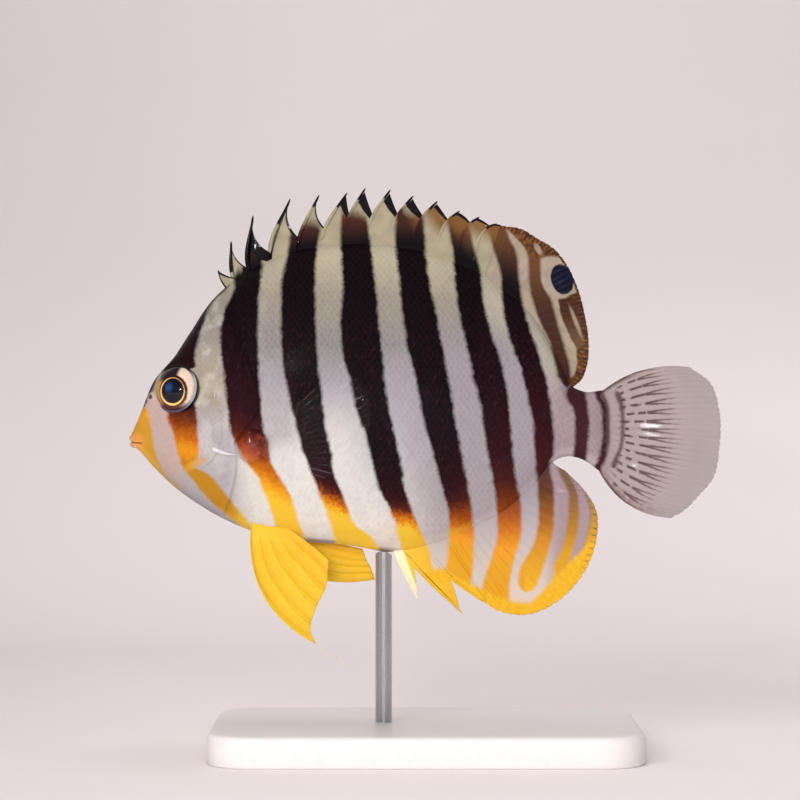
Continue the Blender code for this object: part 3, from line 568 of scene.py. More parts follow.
def markedColour(kit, ragged=1.0, part="skin"):
    # colour of skin, scales and fins at a place of the side view, with masks for finer work; the
    # drawing spreads a little with the flank's bulge
    wobble = (kit.noise(0.6, 3) - 0.5) * 0.6 * ragged + (kit.noise(2.6, 2) - 0.5) * 0.35 * ragged
    bulge = abs(kit.y) / 350
    x = kit.x + (kit.x + 3.4) * bulge + wobble
    z = kit.z + (kit.z - 46.3) * bulge
    inside = None
    for name in sets[part]:
        here = inBar(kit, bars[name], x, z)
        inside = here if inside is None else inside.most(here)
    speck = (kit.noise(1.9, 3, 0.7) - 0.5) * 2.8 * ragged
    slow = x.step(12, 15) * x.step(19.2, 18.2) * 0.9 + 1.0 - x.step(1, -2.5) * 0.42
    slow = slow + x.step(3, 9) * 1.2 + x.step(-16.5, -18) * 0.82
    fall = (z - kit.lengthLine(x, heights["turn"]) + speck) / slow
    masks = dict(
        streaks=kit.strokes(-27, 1.1, 5).step(0.6, 0.74) * fall.step(0.2, 1.6),
        ridge=(kit.lengthLine(x, body["back"]) - z).step(9, 2.5),
        mottle=kit.noise(0.45, 3).step(0.44, 0.66),
    )
    low = kit.mix(x.step(-3, 4), hues["yellow"], hues["orange"])
    cheekLow = kit.mix(z.step(40.5, 36), (148, 90, 24), (174, 122, 30))
    low = low.stained(x.step(-23.5, -26), cheekLow)
    low = low.stained(x.step(-32, -34), (184, 132, 40))
    tone = kit.mix(fall.step(-4.4, -2.3), low, kit.ramp(fall, hues["tone"]))
    rise = z - kit.lengthLine(x, heights["rust"]) + speck * 0.5
    brown = kit.mix(x.step(0, 8), (64, 30, 18), (94, 60, 32))
    tone = tone.stained(rise.step(-1, 3.2), layered(brown, stains["brown"], masks, x, z))
    tone = layered(tone, stains["tone"], masks, x, z)
    ground = kit.ramp(z + (kit.noise(0.25, 2) - 0.5) * 4, hues["ground"])
    ground = layered(ground, stains["ground"], masks, x, z)
    cap = (kit.lengthLine(x, heights["cap"]) - z + speck * 0.5).step(-1, 0.9)
    bar = inside.step(-0.32, 0.32) * cap
    if part == "skin":
        brow = abs(kit.y).step(2.3, 1.7) * kit.z.step(44.4, 45.2) * kit.x.step(-31, -32)
        ground = ground.stained(brow, (38, 20, 20))
        aboveBelly = kit.z - kit.lengthLine(kit.x, body["belly"])
        # painted shadow: a brown line along the belly's lower edge, where the body meets the pelvic fins
        fold = aboveBelly.step(0.75, 0.3) * kit.x.step(-24, -20) * kit.x.step(-3, -5)
        ground = ground.stained(fold * 0.6, (110, 70, 40))
        ground = ground.stained(kit.strokes(-27, 0.8, 3.4).step(0.45, 0.7) * 0.14, (150, 142, 140))
        # lighter along the lower edge, which turns away from the light
        under = aboveBelly.step(1.9, 0.2)
        ground = ground.stained(under * kit.x.step(-5, -3.5) * 0.25, (246, 238, 234))
        tone = tone.stained(under * fall.step(-0.4, -2) * 0.35, (255, 206, 80))
        red = kit.ellipse(*lobeRed["place"]).step(1.2, 0.75)
        glow = kit.ramp(z + (kit.x + 22) * 0.5 + speck * 0.3, lobeRed["glow"])
        glow = glow.stained(kit.noise(1.1, 3).step(0.45, 0.7) * 0.35, (178, 78, 24))
        bar, tone = bar.most(red), kit.mix(red, tone, glow)
        thin = kit.ellipse(*spur).step(1.5, 0.3)
        bar, tone = bar.most(thin * 0.75), kit.mix(thin * 0.7, tone, (210, 150, 44))
    return dict(ground=ground, tone=tone, bar=bar, fall=fall, x=x, z=z)


print("tools and markings ready")


# Body: side outline, widths and the surface of the flanks

body = dict(
    back=[
        (-38.9, 41.3), (-37.8, 43.7), (-36.3, 47.5), (-33.2, 51.7), (-31, 55.1), (-28.4, 59),
        (-25.4, 61.9), (-21.8, 64.2), (-16.5, 66.2), (-9.9, 67), (-3.4, 66.6), (3.2, 64.9), (9.8, 61.4),
        (14.6, 56.8), (17.4, 51.8), (18.8, 48.7), (20.6, 47.5), (23.4, 47.6),
    ],
    belly=[
        (-38.9, 40.5), (-37.7, 39.7), (-36, 37.8), (-33.6, 35.4), (-29.7, 32.5), (-22.8, 29.1),
        (-16.5, 27.8), (-10, 27.2), (-4, 26.3), (0.6, 27.1), (5.9, 29.2), (11.1, 32.1), (14.8, 35.7),
        (16.8, 38.2), (18.6, 38.9), (20.4, 38.6), (23.4, 36.6),
    ],
    halfWidth=[
        (-38.9, 0.7), (-38.3, 1.35), (-37.4, 2), (-36.1, 2.8), (-34.6, 3.5), (-32.4, 4.35), (-29.7, 5.3),
        (-25.7, 6.4), (-21.5, 7), (-16.5, 7.2), (-9.9, 7), (-3.4, 6.3), (3.2, 5.4), (9.8, 4.3),
        (16.4, 3.1), (20.5, 2.3), (22.2, 1.7), (23.4, 1),
    ],
    crest=0.55,  # half width of the ridge along the back and belly
    headPowers=(2.7, 0.5), trunkPowers=(2.2, 0.72), powersFrom=(-32.0, -18.0),
    swell=dict(middle=(-25.5, 43.5), reach=(4.5, 7.5), rise=0.45),
    gillEdge=[
        (26, -27.8), (30.4, -26.8), (33.8, -25.5), (36.4, -24.8), (39.1, -24.6), (41, -24.7),
        (42.7, -23.5), (44.3, -22.2), (46.3, -21.7), (48.9, -22.2), (54.2, -24.4), (59.5, -26.8),
        (68, -29.8),
    ],
    gillRise=0.36, gillGroove=0.22, gillFades=((28.5, 33.0), (62.0, 57.0)),  # fades by height
    coat=0.13,  # how far the skin lies under the outer faces of the scales, and where that fades
    coatFades=((-37.6, -35.0), (23.2, 21.0)),
)
backLine, bellyLine = smoothLine(body["back"]), smoothLine(body["belly"])
halfWidth, gillEdge = smoothLine(body["halfWidth"]), smoothLine(body["gillEdge"])

eyes = dict(
    x=-32.75, z=47.9, radius=3.0, halfDepth=1.8, standsOut=1.0, ring=0.15,
    mound=(4.6, 3.1), moundHeight=0.45, socket=1.5,  # reach where the mound starts and is full
)
cheek = dict(
    edge=[(-27.6, 48.2), (-26.6, 44.6), (-26.4, 41.4), (-27.6, 38.6), (-30.2, 37.0)],
    rise=0.24, spine=[(-27.6, 40.0), (-26.2, 39.5), (-24.5, 39.2)], spineRadius=0.3,
)
nostrils = [(-36.9, 45.6, 0.26), (-36.0, 46.7, 0.34)]  # x, z, radius
mouth = dict(x=-37.4, z=40.9, upper=(0.40, 0.40, 1.38), lower=(-0.42, 0.37, 1.30))  # rise, radius, reach
lobe = dict(x=-22.5, z=40.2, length=1.9, height=2.2, rise=1.2)  # fleshy base of the pectoral fin


def sectionPowers(x):
    # the powers a and b of the flank's formula, from the head's to the trunk's
    low, high = body["powersFrom"]
    mix = np.clip((x - low) / (high - low), 0, 1)
    return [head + (trunk - head) * mix for head, trunk in zip(body["headPowers"], body["trunkPowers"])]


def flank(x, z):
    # distance from the middle plane to the flesh: crest + (width - crest) * (1 - |h|^a)^b, where h
    # is the height from belly (-1) to back (1), with a soft swelling over the cheek
    top, bottom = backLine(x), bellyLine(x)
    height = np.clip((2 * z - top - bottom) / (top - bottom), -1, 1)
    outer, inner = sectionPowers(x)
    fullness = (1 - np.abs(height) ** outer) ** inner
    mx, mz = body["swell"]["middle"]
    rx, rz = body["swell"]["reach"]
    swell = np.exp(-(((x - mx) / rx) ** 2) - ((z - mz) / rz) ** 2) * body["swell"]["rise"]
    crest = body["crest"] * np.sqrt(np.clip(1 - np.abs(height) ** 14, 0, 1))
    return crest + (halfWidth(x) - body["crest"] + swell) * fullness


def flankNormal(x, z):
    # outward normal of the left flank, from its slopes along x and z
    step = 0.2
    slopeX = (flank(x + step, z) - flank(x - step, z)) / (2 * step)
    slopeZ = (flank(x, z + step) - flank(x, z - step)) / (2 * step)
    return unit(np.stack([-slopeX, -np.ones_like(slopeX), -slopeZ], axis=-1))


eyeNormal = flankNormal(np.array(eyes["x"]), np.array(eyes["z"]))
eyeMiddle = np.array([eyes["x"], -float(flank(eyes["x"], eyes["z"])), eyes["z"]])
eyeMiddle = eyeMiddle + eyeNormal * (eyes["standsOut"] - eyes["halfDepth"])
eyeUp = unit(np.array([0, 0, 1.0]) - eyeNormal * eyeNormal[2])
eyeAft = np.cross(eyeNormal, eyeUp)
eyeAft = eyeAft if eyeAft[0] > 0 else -eyeAft
print("eye normal", eyeNormal.round(3), "middle", eyeMiddle.round(3))


def edgeDistance(x, z, line):
    # distance to a line of the side view, negative in front of it, and a fade at the line's ends
    spots = alongLine(line, np.linspace(0, 1, 60))
    ways = np.gradient(spots, axis=0)
    gaps = np.stack([x, z], -1).reshape(-1, 1, 2) - spots[None]
    lengths = np.linalg.norm(gaps, axis=-1)
    near = lengths.argmin(axis=1)
    gap, way = gaps[np.arange(len(near)), near], ways[near]
    side = np.sign(way[:, 1] * gap[:, 0] - way[:, 0] * gap[:, 1])
    ends = np.clip(np.minimum(near, len(spots) - 1 - near) / 12, 0, 1)
    return (-side * lengths.min(axis=1)).reshape(x.shape), ends.reshape(x.shape)


def skinDepth(x, z):
    # the flank with the gill cover's raised edge, the cheek's edge, the eye's mound and socket, the
    # nostrils and the fleshy base of the pectoral fin
    y = flank(x, z)
    steep = np.clip(y / 2.0, 0, 1)
    past = x - gillEdge(z)
    ends = faded(z, body["gillFades"])
    lip = body["gillRise"] * np.exp(np.minimum(past, 0) / 1.2) * (past <= 0)
    groove = -body["gillGroove"] * np.exp(-np.maximum(past, 0) / 0.55) * (past > 0)
    y = y + (lip + groove) * steep * (0.2 + 0.8 * ends)
    behind, inside = edgeDistance(x, z, cheek["edge"])
    ridge = np.where(behind < 0, np.exp(np.minimum(behind, 0) / 0.8), -0.5 * np.exp(-np.abs(behind) / 0.45))
    y = y + cheek["rise"] * ridge * inside * (x < -24.5)
    ax, az = (x - lobe["x"]) / lobe["length"], (z - lobe["z"]) / lobe["height"]
    rise = lobe["rise"] * np.clip(1 - np.hypot(ax, az) ** 2.6, 0, 1) ** 0.6
    ribs = 0.07 * np.cos(np.arctan2(z - lobe["z"], x - lobe["x"] + 3.2) * 30) * ease(ax, -0.7, 0.5)
    y = y + rise + ribs * np.clip(rise, 0, 1)
    # mound round the eyeball, up to the plane of its rim, then the socket that it sits in
    away = np.hypot(x - eyeMiddle[0] - 0.1, z - eyeMiddle[2])
    spot = eyeMiddle + eyeNormal * eyes["moundHeight"]
    plane = -(spot[1] - (eyeNormal[0] * (x - spot[0]) + eyeNormal[2] * (z - spot[2])) / eyeNormal[1])
    y = y + ease(away, *eyes["mound"]) * np.maximum(plane - y, -0.15)
    y = y - eyes["socket"] * ease(away, eyes["radius"] + 0.05, eyes["radius"] - 0.3)
    for px, pz, radius in nostrils:
        off = np.hypot(x - px, (z - pz) * 0.8) / radius
        y = y + 0.1 * np.exp(-((off - 1.35) / 0.4) ** 2) - 0.35 * ease(off, 1.05, 0.4)
    return y


def coatDepth(x):
    # how far the skin lies under the flank, which leaves room for the scales
    return body["coat"] * faded(x, body["coatFades"])


# Skin: one closed surface from the snout to the tail base

skin = dict(
    stations=236, around=201, headShare=0.62, start=-38.62, split=-21.0, end=23.75, closeFrom=22.9,
    bendAt=-25.0, bendReach=3.6, blunt=0.12,  # blunt: how far the snout's pole stands out
)


def sectionHeight(x, height):
    # z at a height from the belly (-1) over the middle (0) to the back (1)
    return (backLine(x) + bellyLine(x)) / 2 + (backLine(x) - bellyLine(x)) / 2 * height


def makeSkin(finish):
    # station i runs along the body and j round the section from belly to back; the stations bend
    # near the gill cover so that one of them lies along its edge
    count = int(skin["stations"] * skin["headShare"])
    head = np.linspace(0, 1, count) ** 1.12 * (skin["split"] - skin["start"]) + skin["start"]
    trunk = np.linspace(skin["split"], skin["end"], skin["stations"] - count + 1)[1:]
    stations = np.concatenate([head, trunk])
    height = np.sin(np.linspace(-math.pi / 2, math.pi / 2, skin["around"])) + np.zeros((len(stations), 1))
    base = stations[:, None] + np.zeros((1, skin["around"]))
    near = stations[np.abs(stations - skin["bendAt"]).argmin()]
    weight = np.exp(-(((base - skin["bendAt"]) / skin["bendReach"]) ** 2))
    x = base.copy()
    for _ in range(24):  # x depends on z and z on x, so both are settled together
        x = 0.5 * x + 0.5 * (base + weight * (gillEdge(sectionHeight(x, height)) - 0.01 - near))
    z = sectionHeight(x, height)
    y = np.maximum(skinDepth(x, z) - coatDepth(x), 0.05)
    closing = np.maximum(x - skin["closeFrom"], 0) / (skin["end"] + 0.02 - skin["closeFrom"])
    y = y * np.sqrt(np.clip(1 - closing**2, 0, 1))
    y[:, 0] = y[:, -1] = 0
    right = np.stack([x, y, z], -1)[:, :-1]
    left = np.stack([x, -y, z], -1)[:, :0:-1]
    rings = np.concatenate([right, left], axis=1)
    first, last = rings[0].mean(axis=0) - (skin["blunt"], 0, 0), rings[-1].mean(axis=0)
    return buildMesh("skin", *closedGrid(rings, first, last), finish)


def skinFinish():
    kit = Kit("wet_barred_skin", roughness=0.45, coat=0.15, coatRoughness=0.06, shine=0.05)
    mark = markedColour(kit)
    colour = kit.mix(mark["bar"], mark["ground"], mark["tone"])
    # pink lips; painted shade makes the nostrils and the mouth's slit dark
    for px, pz, radius in nostrils:
        hole = kit.ellipse(px, pz, radius * 1.2, radius, -20)
        colour = colour.stained(hole.step(1.7, 1.1) * 0.35, (200, 184, 178))
        # painted shade in each nostril's pit
        colour = colour.stained(hole.step(0.9, 0.4) * 0.85, (66, 42, 38))
    gape = kit.ellipse(mouth["x"] - 0.5, mouth["z"], 1, 1.1, 0)
    colour = colour.stained(gape.step(1.4, 0.5) * 0.7, (214, 140, 76))
    # painted shade along the crease where the lips meet
    slitShade = abs(kit.z - 40.9 + abs(kit.y) * 0.12).step(0.17, 0.05) * kit.x.step(-36.9, -37.3)
    colour = colour.stained(slitShade * 0.85, (120, 66, 44))
    wet = kit.ellipse(*lobeRed["place"]).step(1.1, 0.7)
    kit.feed("Coat Weight", 0.12 + wet * 0.85)
    grain = kit.noise(2.6, 3) + kit.noise(9, 2) * 0.4 + kit.noise(3.6, 1) * wet * 3.5
    return kit.finish(colour, grain, 0.05, 0.8)


skinMaterial = skinFinish()
skinPiece = makeSkin(skinMaterial)
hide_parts("head", "torso", "tail_stalk")
pieces = [(skinPiece, "barred_skin")]
print("skin faces", len(skinPiece.data.polygons))


# Eyes: a flattened ball with pupil, gold ring and iris, in a fleshy ring

look = dict(pupil=(0.3, -0.5), pupilRadius=1.52, gold=1.78)  # pupil: how far aft and up its middle lies


def makeEye(name, turned, finish):
    # a flattened ball, raised softly over the pupil; point (i, j): tilt i from the front pole, turn j
    # round it
    tilt = np.linspace(0, math.pi, 49)[1:-1, None]
    turn = np.linspace(0, 2 * math.pi, 72, endpoint=False)[None, :]
    aft = eyes["radius"] * np.sin(tilt) * np.cos(turn)
    up = eyes["radius"] * np.sin(tilt) * np.sin(turn)
    px, pz = look["pupil"]
    bulge = 0.16 * np.exp(-((aft - px) ** 2 + (up - pz) ** 2) / 2.4) * (np.cos(tilt) > 0)
    poleRise = 0.16 * math.exp(-(px**2 + pz**2) / 2.4)
    out = eyes["halfDepth"] * np.cos(tilt) + bulge
    rings = eyeMiddle + aft[..., None] * eyeAft + up[..., None] * eyeUp + out[..., None] * eyeNormal
    poles = eyeMiddle + np.array([[eyes["halfDepth"] + poleRise], [-eyes["halfDepth"]]]) * eyeNormal
    points, faces = closedGrid(rings, *poles)
    values = np.stack([aft.ravel(), up.ravel(), (out + 0 * aft).ravel()], -1)
    values = np.concatenate([values, [[0, 0, eyes["halfDepth"]], [0, 0, -eyes["halfDepth"]]]])
    return buildMesh(name, turned(points), faces, finish, {"look": values})


def eyeFinish():
    # pupil, gold ring and iris by distance from the pupil's middle, with light along the ball's edge
    kit = Kit("wet_eye", roughness=0.25, coat=0.6, coatRoughness=0.02, shine=0.1)
    aft, up, _ = kit.attribute("look")
    px, pz = look["pupil"]
    ax, az = aft - px, up - pz
    ring, orbit = kit.reach(ax, az), kit.reach(aft, up)
    grain = kit.noise(3.5, 3)
    ring = ring + (grain - 0.5) * 0.08
    colour = kit.mix(grain.step(0.4, 0.7), (58, 20, 14), (104, 40, 20))
    colour = colour.stained((up - aft * 0.3).step(0.6, 1.6), (26, 8, 12))
    crescent = ring.step(1.96, 2.14) * aft.step(0.5, 1.1) * orbit.step(2.98, 2.9) * up.step(-2.7, -1.7)
    colour = colour.stained(crescent * (grain * 0.6 + 0.55), (230, 204, 184))
    glow = ring.step(2, 2.2) * aft.step(-1, -1.7) * orbit.step(2.7, 2.5) * up.step(1.3, 0.4)
    colour = colour.stained(glow * 0.8, (190, 142, 56))
    shade = (orbit + aft.step(0.5, 1.5) * -0.12).step(2.72, 2.86)
    colour = colour.stained(shade, (44, 30, 34))
    thick = look["gold"] - 0.05 * (ax + az)
    colour = colour.stained((thick - ring).step(-0.06, 0.03), (246, 196, 118))
    colour = colour.stained(ring.step(look["gold"] - 0.1, look["gold"] - 0.18), (40, 14, 14))
    # painted highlight: a soft blue glow in the pupil's upper front, over deep navy
    shine = kit.reach(ax + 0.45, az - 0.35)
    deep = kit.mix(shine.step(1, 0), (5, 5, 18), (34, 62, 112))
    colour = colour.stained(ring.step(look["pupilRadius"] + 0.06, look["pupilRadius"] - 0.05), deep)
    return kit.finish(colour, grain, 0.02, 0.4)


eyeMaterial = eyeFinish()
for side, turned in sides.items():
    ball = makeEye(f"eyeball_{side}", turned, eyeMaterial)
    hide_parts(f"eye_{side}")
    pieces.append((ball, "eye"))


def makeRing(name, turned, finish):
    # a closed soft roll round the eyeball, fuller behind and below
    around, sides = 96, 16
    turn = np.linspace(0, 2 * math.pi, around, endpoint=False)
    fold = 1 + 0.12 * np.cos(turn + 0.7)
    reach = eyes["radius"] + 0.06
    circle = np.cos(turn)[:, None] * eyeAft + np.sin(turn)[:, None] * eyeUp
    path = eyeMiddle + eyeNormal * 0.42 + reach * circle
    ahead = unit(np.roll(path, -1, axis=0) - np.roll(path, 1, axis=0))
    out = unit(np.cross(ahead, eyeNormal))
    spin = np.linspace(0, 2 * math.pi, sides, endpoint=False)
    size = (eyes["ring"] * fold)[:, None, None]
    ringGrid = path[:, None] + size * (np.cos(spin)[None, :, None] * out[:, None] * 1.15)
    ringGrid = ringGrid + size * np.sin(spin)[None, :, None] * eyeNormal
    faces = [gridFaces(around, sides, closeRows=True, closeColumns=True)]
    across = np.repeat(np.stack([np.cos(turn), np.sin(turn), fold], -1), sides, axis=0)
    return buildMesh(name, turned(ringGrid.reshape(-1, 3)), faces, finish, {"look": across})


def ringFinish():
    # dark above, pale at the sides and violet below
    kit = Kit("wet_eye_ring", roughness=0.5, coat=0.15, coatRoughness=0.1, shine=0.1)
    aft, up, _ = kit.attribute("look")
    colour = kit.mix(up.step(0.35, 0.85), (144, 150, 154), (30, 20, 24))
    colour = colour.stained(aft.step(-0.2, -0.8) * up.step(0.9, 0.3), (158, 136, 106))
    colour = colour.stained(up.step(-0.5, -0.9), (84, 64, 80))
    return kit.finish(colour, kit.noise(3, 2), 0.04, 0.6)


ringMaterial = ringFinish()
for side, turned in sides.items():
    pieces.append((makeRing(f"eye_ring_{side}", turned, ringMaterial), "barred_skin"))
print("eyes done")


# Mouth: two lips round the snout's tip

def makeLips(finish):
    # two bars, thickest in the middle, each along an arc round the tip that drops to its ends
    parts = []
    sweep = np.linspace(-1.25, 1.25, 41)
    for label in ("upper", "lower"):
        rise, radius, reach = mouth[label]
        path = np.stack([
            mouth["x"] - reach * np.cos(sweep) * 0.85, reach * np.sin(sweep),
            mouth["z"] + rise - 0.5 * (1 - np.cos(sweep)),
        ], -1)
        parts.append(tubeParts(path, radius * np.cos(sweep * 1.1) ** 0.6 + 0.02, (0, 0, 1), 16))
    points, faces = joinParts(parts)
    return buildMesh("lips", points, faces, finish)


def lipFinish():
    # pink with fine wrinkles, yellower towards the face
    kit = Kit("wet_lips", roughness=0.3, coat=0.6, coatRoughness=0.07)
    grain = kit.noise(4, 3)
    colour = kit.mix(grain.step(0.35, 0.7), (186, 124, 100), (214, 162, 140))
    colour = colour.stained(kit.x.step(-38.3, -37.2), (222, 150, 60))
    return kit.finish(colour, grain + kit.noise(11, 2) * 0.5, 0.05, 0.8)


pieces.append((makeLips(lipFinish()), "barred_skin"))


def makeCheekSpines(finish):
    # a spine on each gill cover, sunk at its root and standing off the skin at its point
    share = np.linspace(0, 1, 14)
    spots = alongLine(cheek["spine"], share)
    y = skinDepth(spots[:, 0], spots[:, 1])
    parts = []
    for turned in sides.values():
        path = turned(np.stack([spots[:, 0], -(y - 0.2 + 0.32 * share), spots[:, 1]], -1))
        radii = cheek["spineRadius"] * (1 - share**1.5) + 0.03
        parts.append(tubeParts(path, radii, (0, 1, 0), 10, 0.8))
    points, faces = joinParts(parts)
    return buildMesh("cheek_spines", points, faces, finish)


def boneFinish():
    kit = Kit("cheek_spine_bone", roughness=0.25, coat=0.5, coatRoughness=0.05)
    colour = kit.mix(kit.noise(1.4, 2), (226, 214, 214), (196, 186, 196))
    return kit.finish(colour, kit.noise(3, 2), 0.03, 0.5)


pieces.append((makeCheekSpines(boneFinish()), "barred_skin"))
print("head done")


# Scales: closed plates over the skin, in rows along the body, smallest on the face

scales = dict(
    #            from x, to x, pitch, row, length, half width, lift at the root, lift at the rear
    trunk=(-27.5, 22.9, 0.80, 0.58, 1.36, 0.62, -0.024, 0.026),
    cheek=(-31.0, -20.5, 0.54, 0.40, 0.92, 0.43, -0.018, 0.017),
    snout=(-36.4, -30.7, 0.40, 0.30, 0.68, 0.33, -0.015, 0.013),
    clearOfEye=3.75, clearOfNostril=0.75, clearOfEdge=0.12, clearOfLobe=1.05,
    snoutEnd=-30.9, cheekStart=-31.2, pieceLimit=3900,
)


chart = dict(rows=300, columns=241, reach=32, perMm=10)  # reach: arc length kept up and down, in mm


def makeChart():
    # the left flank on a grid of straight sections: points, outward normals and, for each section,
    # the grid column that lies at a distance up or down its curve from the middle height
    x = np.linspace(skin["start"], skin["end"] - 0.05, chart["rows"])[:, None]
    height = np.sin(np.linspace(-math.pi / 2, math.pi / 2, chart["columns"]))[None, :] * 0.99985
    z = sectionHeight(x, height)
    x = x + 0 * z
    y = np.maximum(skinDepth(x, z) - coatDepth(x), 0.05)
    points = np.stack([x, -y, z], -1)
    normals = unit(np.cross(np.gradient(points, axis=0), np.gradient(points, axis=1)))
    normals = normals * np.where((normals[..., 1:2] > 0) & (np.abs(height[..., None]) < 0.9), -1, 1)
    arc = lineLengths(points)
    middle = chart["columns"] // 2
    arc = arc - arc[:, middle:middle + 1]
    reach = np.linspace(-chart["reach"], chart["reach"], 2 * chart["reach"] * chart["perMm"] + 1)
    columns = np.stack([np.interp(reach, line, np.arange(chart["columns"])) for line in arc])
    return points, normals, columns, arc[:, [0, -1]]


chartPoints, chartNormals, chartColumns, chartEnds = makeChart()


def sample(table, row, column):
    # bilinear reading of a table at fractional rows and columns
    i = np.clip(row.astype(int), 0, table.shape[0] - 2)
    j = np.clip(column.astype(int), 0, table.shape[1] - 2)
    u, v = row - i, column - j
    if table.ndim == 3:
        u, v = u[..., None], v[..., None]
    low = table[i, j] * (1 - v) + table[i, j + 1] * v
    return low * (1 - u) + (table[i + 1, j] * (1 - v) + table[i + 1, j + 1] * v) * u


def onFlank(x, arc):
    # point, normal and place (0 to 1 along and up) at a station x and an arc length from mid height
    first, second = chartPoints[:2, 0, 0]
    lastRow, lastColumn = chart["rows"] - 1, chart["columns"] - 1
    row = np.clip((x - first) / (second - first), 0, lastRow - 0.01)
    reach = (arc + chart["reach"]) * chart["perMm"]
    column = sample(chartColumns, row, np.clip(reach, 0, 2 * chart["reach"] * chart["perMm"] - 0.01))
    spots, normals = sample(chartPoints, row, column), unit(sample(chartNormals, row, column))
    return spots, normals, row / lastRow, column / lastColumn


def scaleRoots(kind):
    # staggered rows: row m lies m * row from the middle line and every other row is half a pitch on
    start, end, pitch, row, length = scales[kind][:5]
    m, k = np.meshgrid(np.arange(-60, 61) * 1.0, np.arange(0, (end - start) / pitch), indexing="ij")
    arc = m * row + dice.normal(0, 0.05 * row, m.shape)
    x = start + (k + 0.5 * (m % 2)) * pitch + dice.normal(0, 0.05 * pitch, m.shape)
    x, arc = x.ravel(), arc.ravel()
    spots, _, rows, _ = onFlank(x + length * 0.6, arc)
    bottom, top = (sample(chartEnds, rows * (chart["rows"] - 1), 0 * rows + part) for part in (0, 0.9999))
    keep = (arc > bottom - 0.05) & (arc < top + 0.05) & (x < end)
    past = spots[:, 0] - gillEdge(spots[:, 2])
    if kind == "trunk":
        keep &= past > length * 0.62 + 2.5 * scales["clearOfEdge"]
        ax, az = (spots[:, 0] - lobe["x"]) / lobe["length"], (spots[:, 2] - lobe["z"]) / lobe["height"]
        keep &= np.hypot(ax, az) > scales["clearOfLobe"]
    else:
        keep &= past < -length * 0.5 - 2 * scales["clearOfEdge"]
        keep &= np.hypot(spots[:, 0] - eyeMiddle[0], spots[:, 2] - eyeMiddle[2]) > scales["clearOfEye"]
        for px, pz, _ in nostrils:
            keep &= np.hypot(spots[:, 0] - px, spots[:, 2] - pz) > scales["clearOfNostril"]
        if kind == "snout":
            keep &= spots[:, 0] < scales["snoutEnd"]
        else:
            keep &= spots[:, 0] > scales["cheekStart"]
    return x[keep], arc[keep]


def scalePlates(kind):
    # one plate: a 5 by 5 grid with a rounded rear edge, a along it and b across, bent to the flank
    # and lifted towards the rear, and one point under its middle that closes it below
    _, _, _, _, length, half, low, high = scales[kind]
    x, arc = scaleRoots(kind)
    along, wide = np.meshgrid(np.linspace(0, 1, 5), np.linspace(-1, 1, 5), indexing="ij")
    a, b = along.ravel(), wide.ravel()
    a, b = np.append(a, 0.5), np.append(b, 0.0)
    size = dice.normal(1, 0.05, (len(x), 1))
    turn = dice.normal(0, 0.06, (len(x), 1))
    ahead = a * (1 - 0.3 * b * b) * length * size
    across = b * (0.72 + 0.28 * np.sin(np.pi * (0.1 + 0.75 * a))) * half * size
    x, arc = x[:, None] + ahead - across * turn, arc[:, None] + across + ahead * turn
    spots, normals, rows, columns = onFlank(x, arc)
    lift = low + (high - low) * a + 0.35 * high * (1 - b * b) * a
    lift = lift + dice.normal(0, 0.06 * high, (len(x), 1)) * a
    lift[:, -1] = low - 0.05
    points = spots + normals * lift[..., None]
    roots = np.stack([0.5 + columns[:, 12] / 2, rows[:, 2]], -1)[:, None]
    uvs = roots + 0.0015 * np.stack([b, a * 2 - 1], -1)
    plate = np.stack([a + 0 * lift, b + 0 * lift, dice.random((len(x), 1)) + 0 * lift], -1)
    return points, plate, uvs


def plateFaces(count):
    # faces of the plates, each of 25 grid points and a 26th below them, and which points are inner
    # ones; rim goes round the border
    index = np.arange(25).reshape(5, 5)
    rim = np.concatenate([index[0], index[1:, -1], index[-1, -2::-1], index[-2:0:-1, 0]])
    under = np.stack([rim, np.roll(rim, -1), np.full(len(rim), 25)], -1)
    start = np.arange(count)[:, None, None] * 26
    inner = np.append(index[1:-1, 1:-1], 25)
    faces = [(gridFaces(5, 5) + start).reshape(-1, 4), (under + start).reshape(-1, 3)]
    return faces, np.tile(np.isin(np.arange(26), inner), count)


def makeScales(kind, finish):
    # the plates of one kind on both flanks, split into pieces of a limited size
    points, plate, uvs = scalePlates(kind)
    made = []
    for side, turned in sides.items():
        groups = max(1, math.ceil(len(points) / scales["pieceLimit"]))
        for number, chosen in enumerate(np.array_split(np.arange(len(points)), groups)):
            faces, inner = plateFaces(len(chosen))
            place = uvs[chosen].copy()
            if side == "right":
                place[..., 0] = 1 - place[..., 0]
            made.append(buildMesh(
                f"scales_{kind}_{side}_{number}", turned(points[chosen].reshape(-1, 3)), faces, finish,
                {"plate": plate[chosen].reshape(-1, 3)}, place.reshape(-1, 2), creased=~inner,
            ))
    print(kind, "scales", len(points), "a side")
    return made


def scaleFinish():
    # the markings with a lighter rear edge and a tone and gloss of its own on each scale
    kit = Kit("wet_barred_scales", roughness=0.45, coat=0.04, coatRoughness=0.16, shine=0.05)
    a, b, chance = kit.attribute("plate")
    kit.x = kit.x + (chance - 0.5) * 0.1
    mark = markedColour(kit)
    rim = a.step(0.7, 0.92)
    ground = kit.mix(rim * 0.06, mark["ground"], (226, 224, 226))
    ground = ground.stained(chance * 0.12, (120, 110, 112))
    tone = kit.mix(rim * mark["fall"].step(0.5, 2) * 0.02, mark["tone"], (128, 84, 84))
    colour = kit.mix(mark["bar"], ground, tone)
    kit.feed("Roughness", 0.36 + chance * 0.18)
    kit.feed("Coat Weight", 0.02 + chance * 0.04)
    return kit.finish(colour, kit.noise(7, 2), 0.02, 0.6)


scaleMaterial = scaleFinish()
for kind in ("trunk", "cheek", "snout"):
    pieces += [(piece, "barred_skin") for piece in makeScales(kind, scaleMaterial)]


# Fins: closed thin sheets with raised rays that branch, and spines with membrane between them

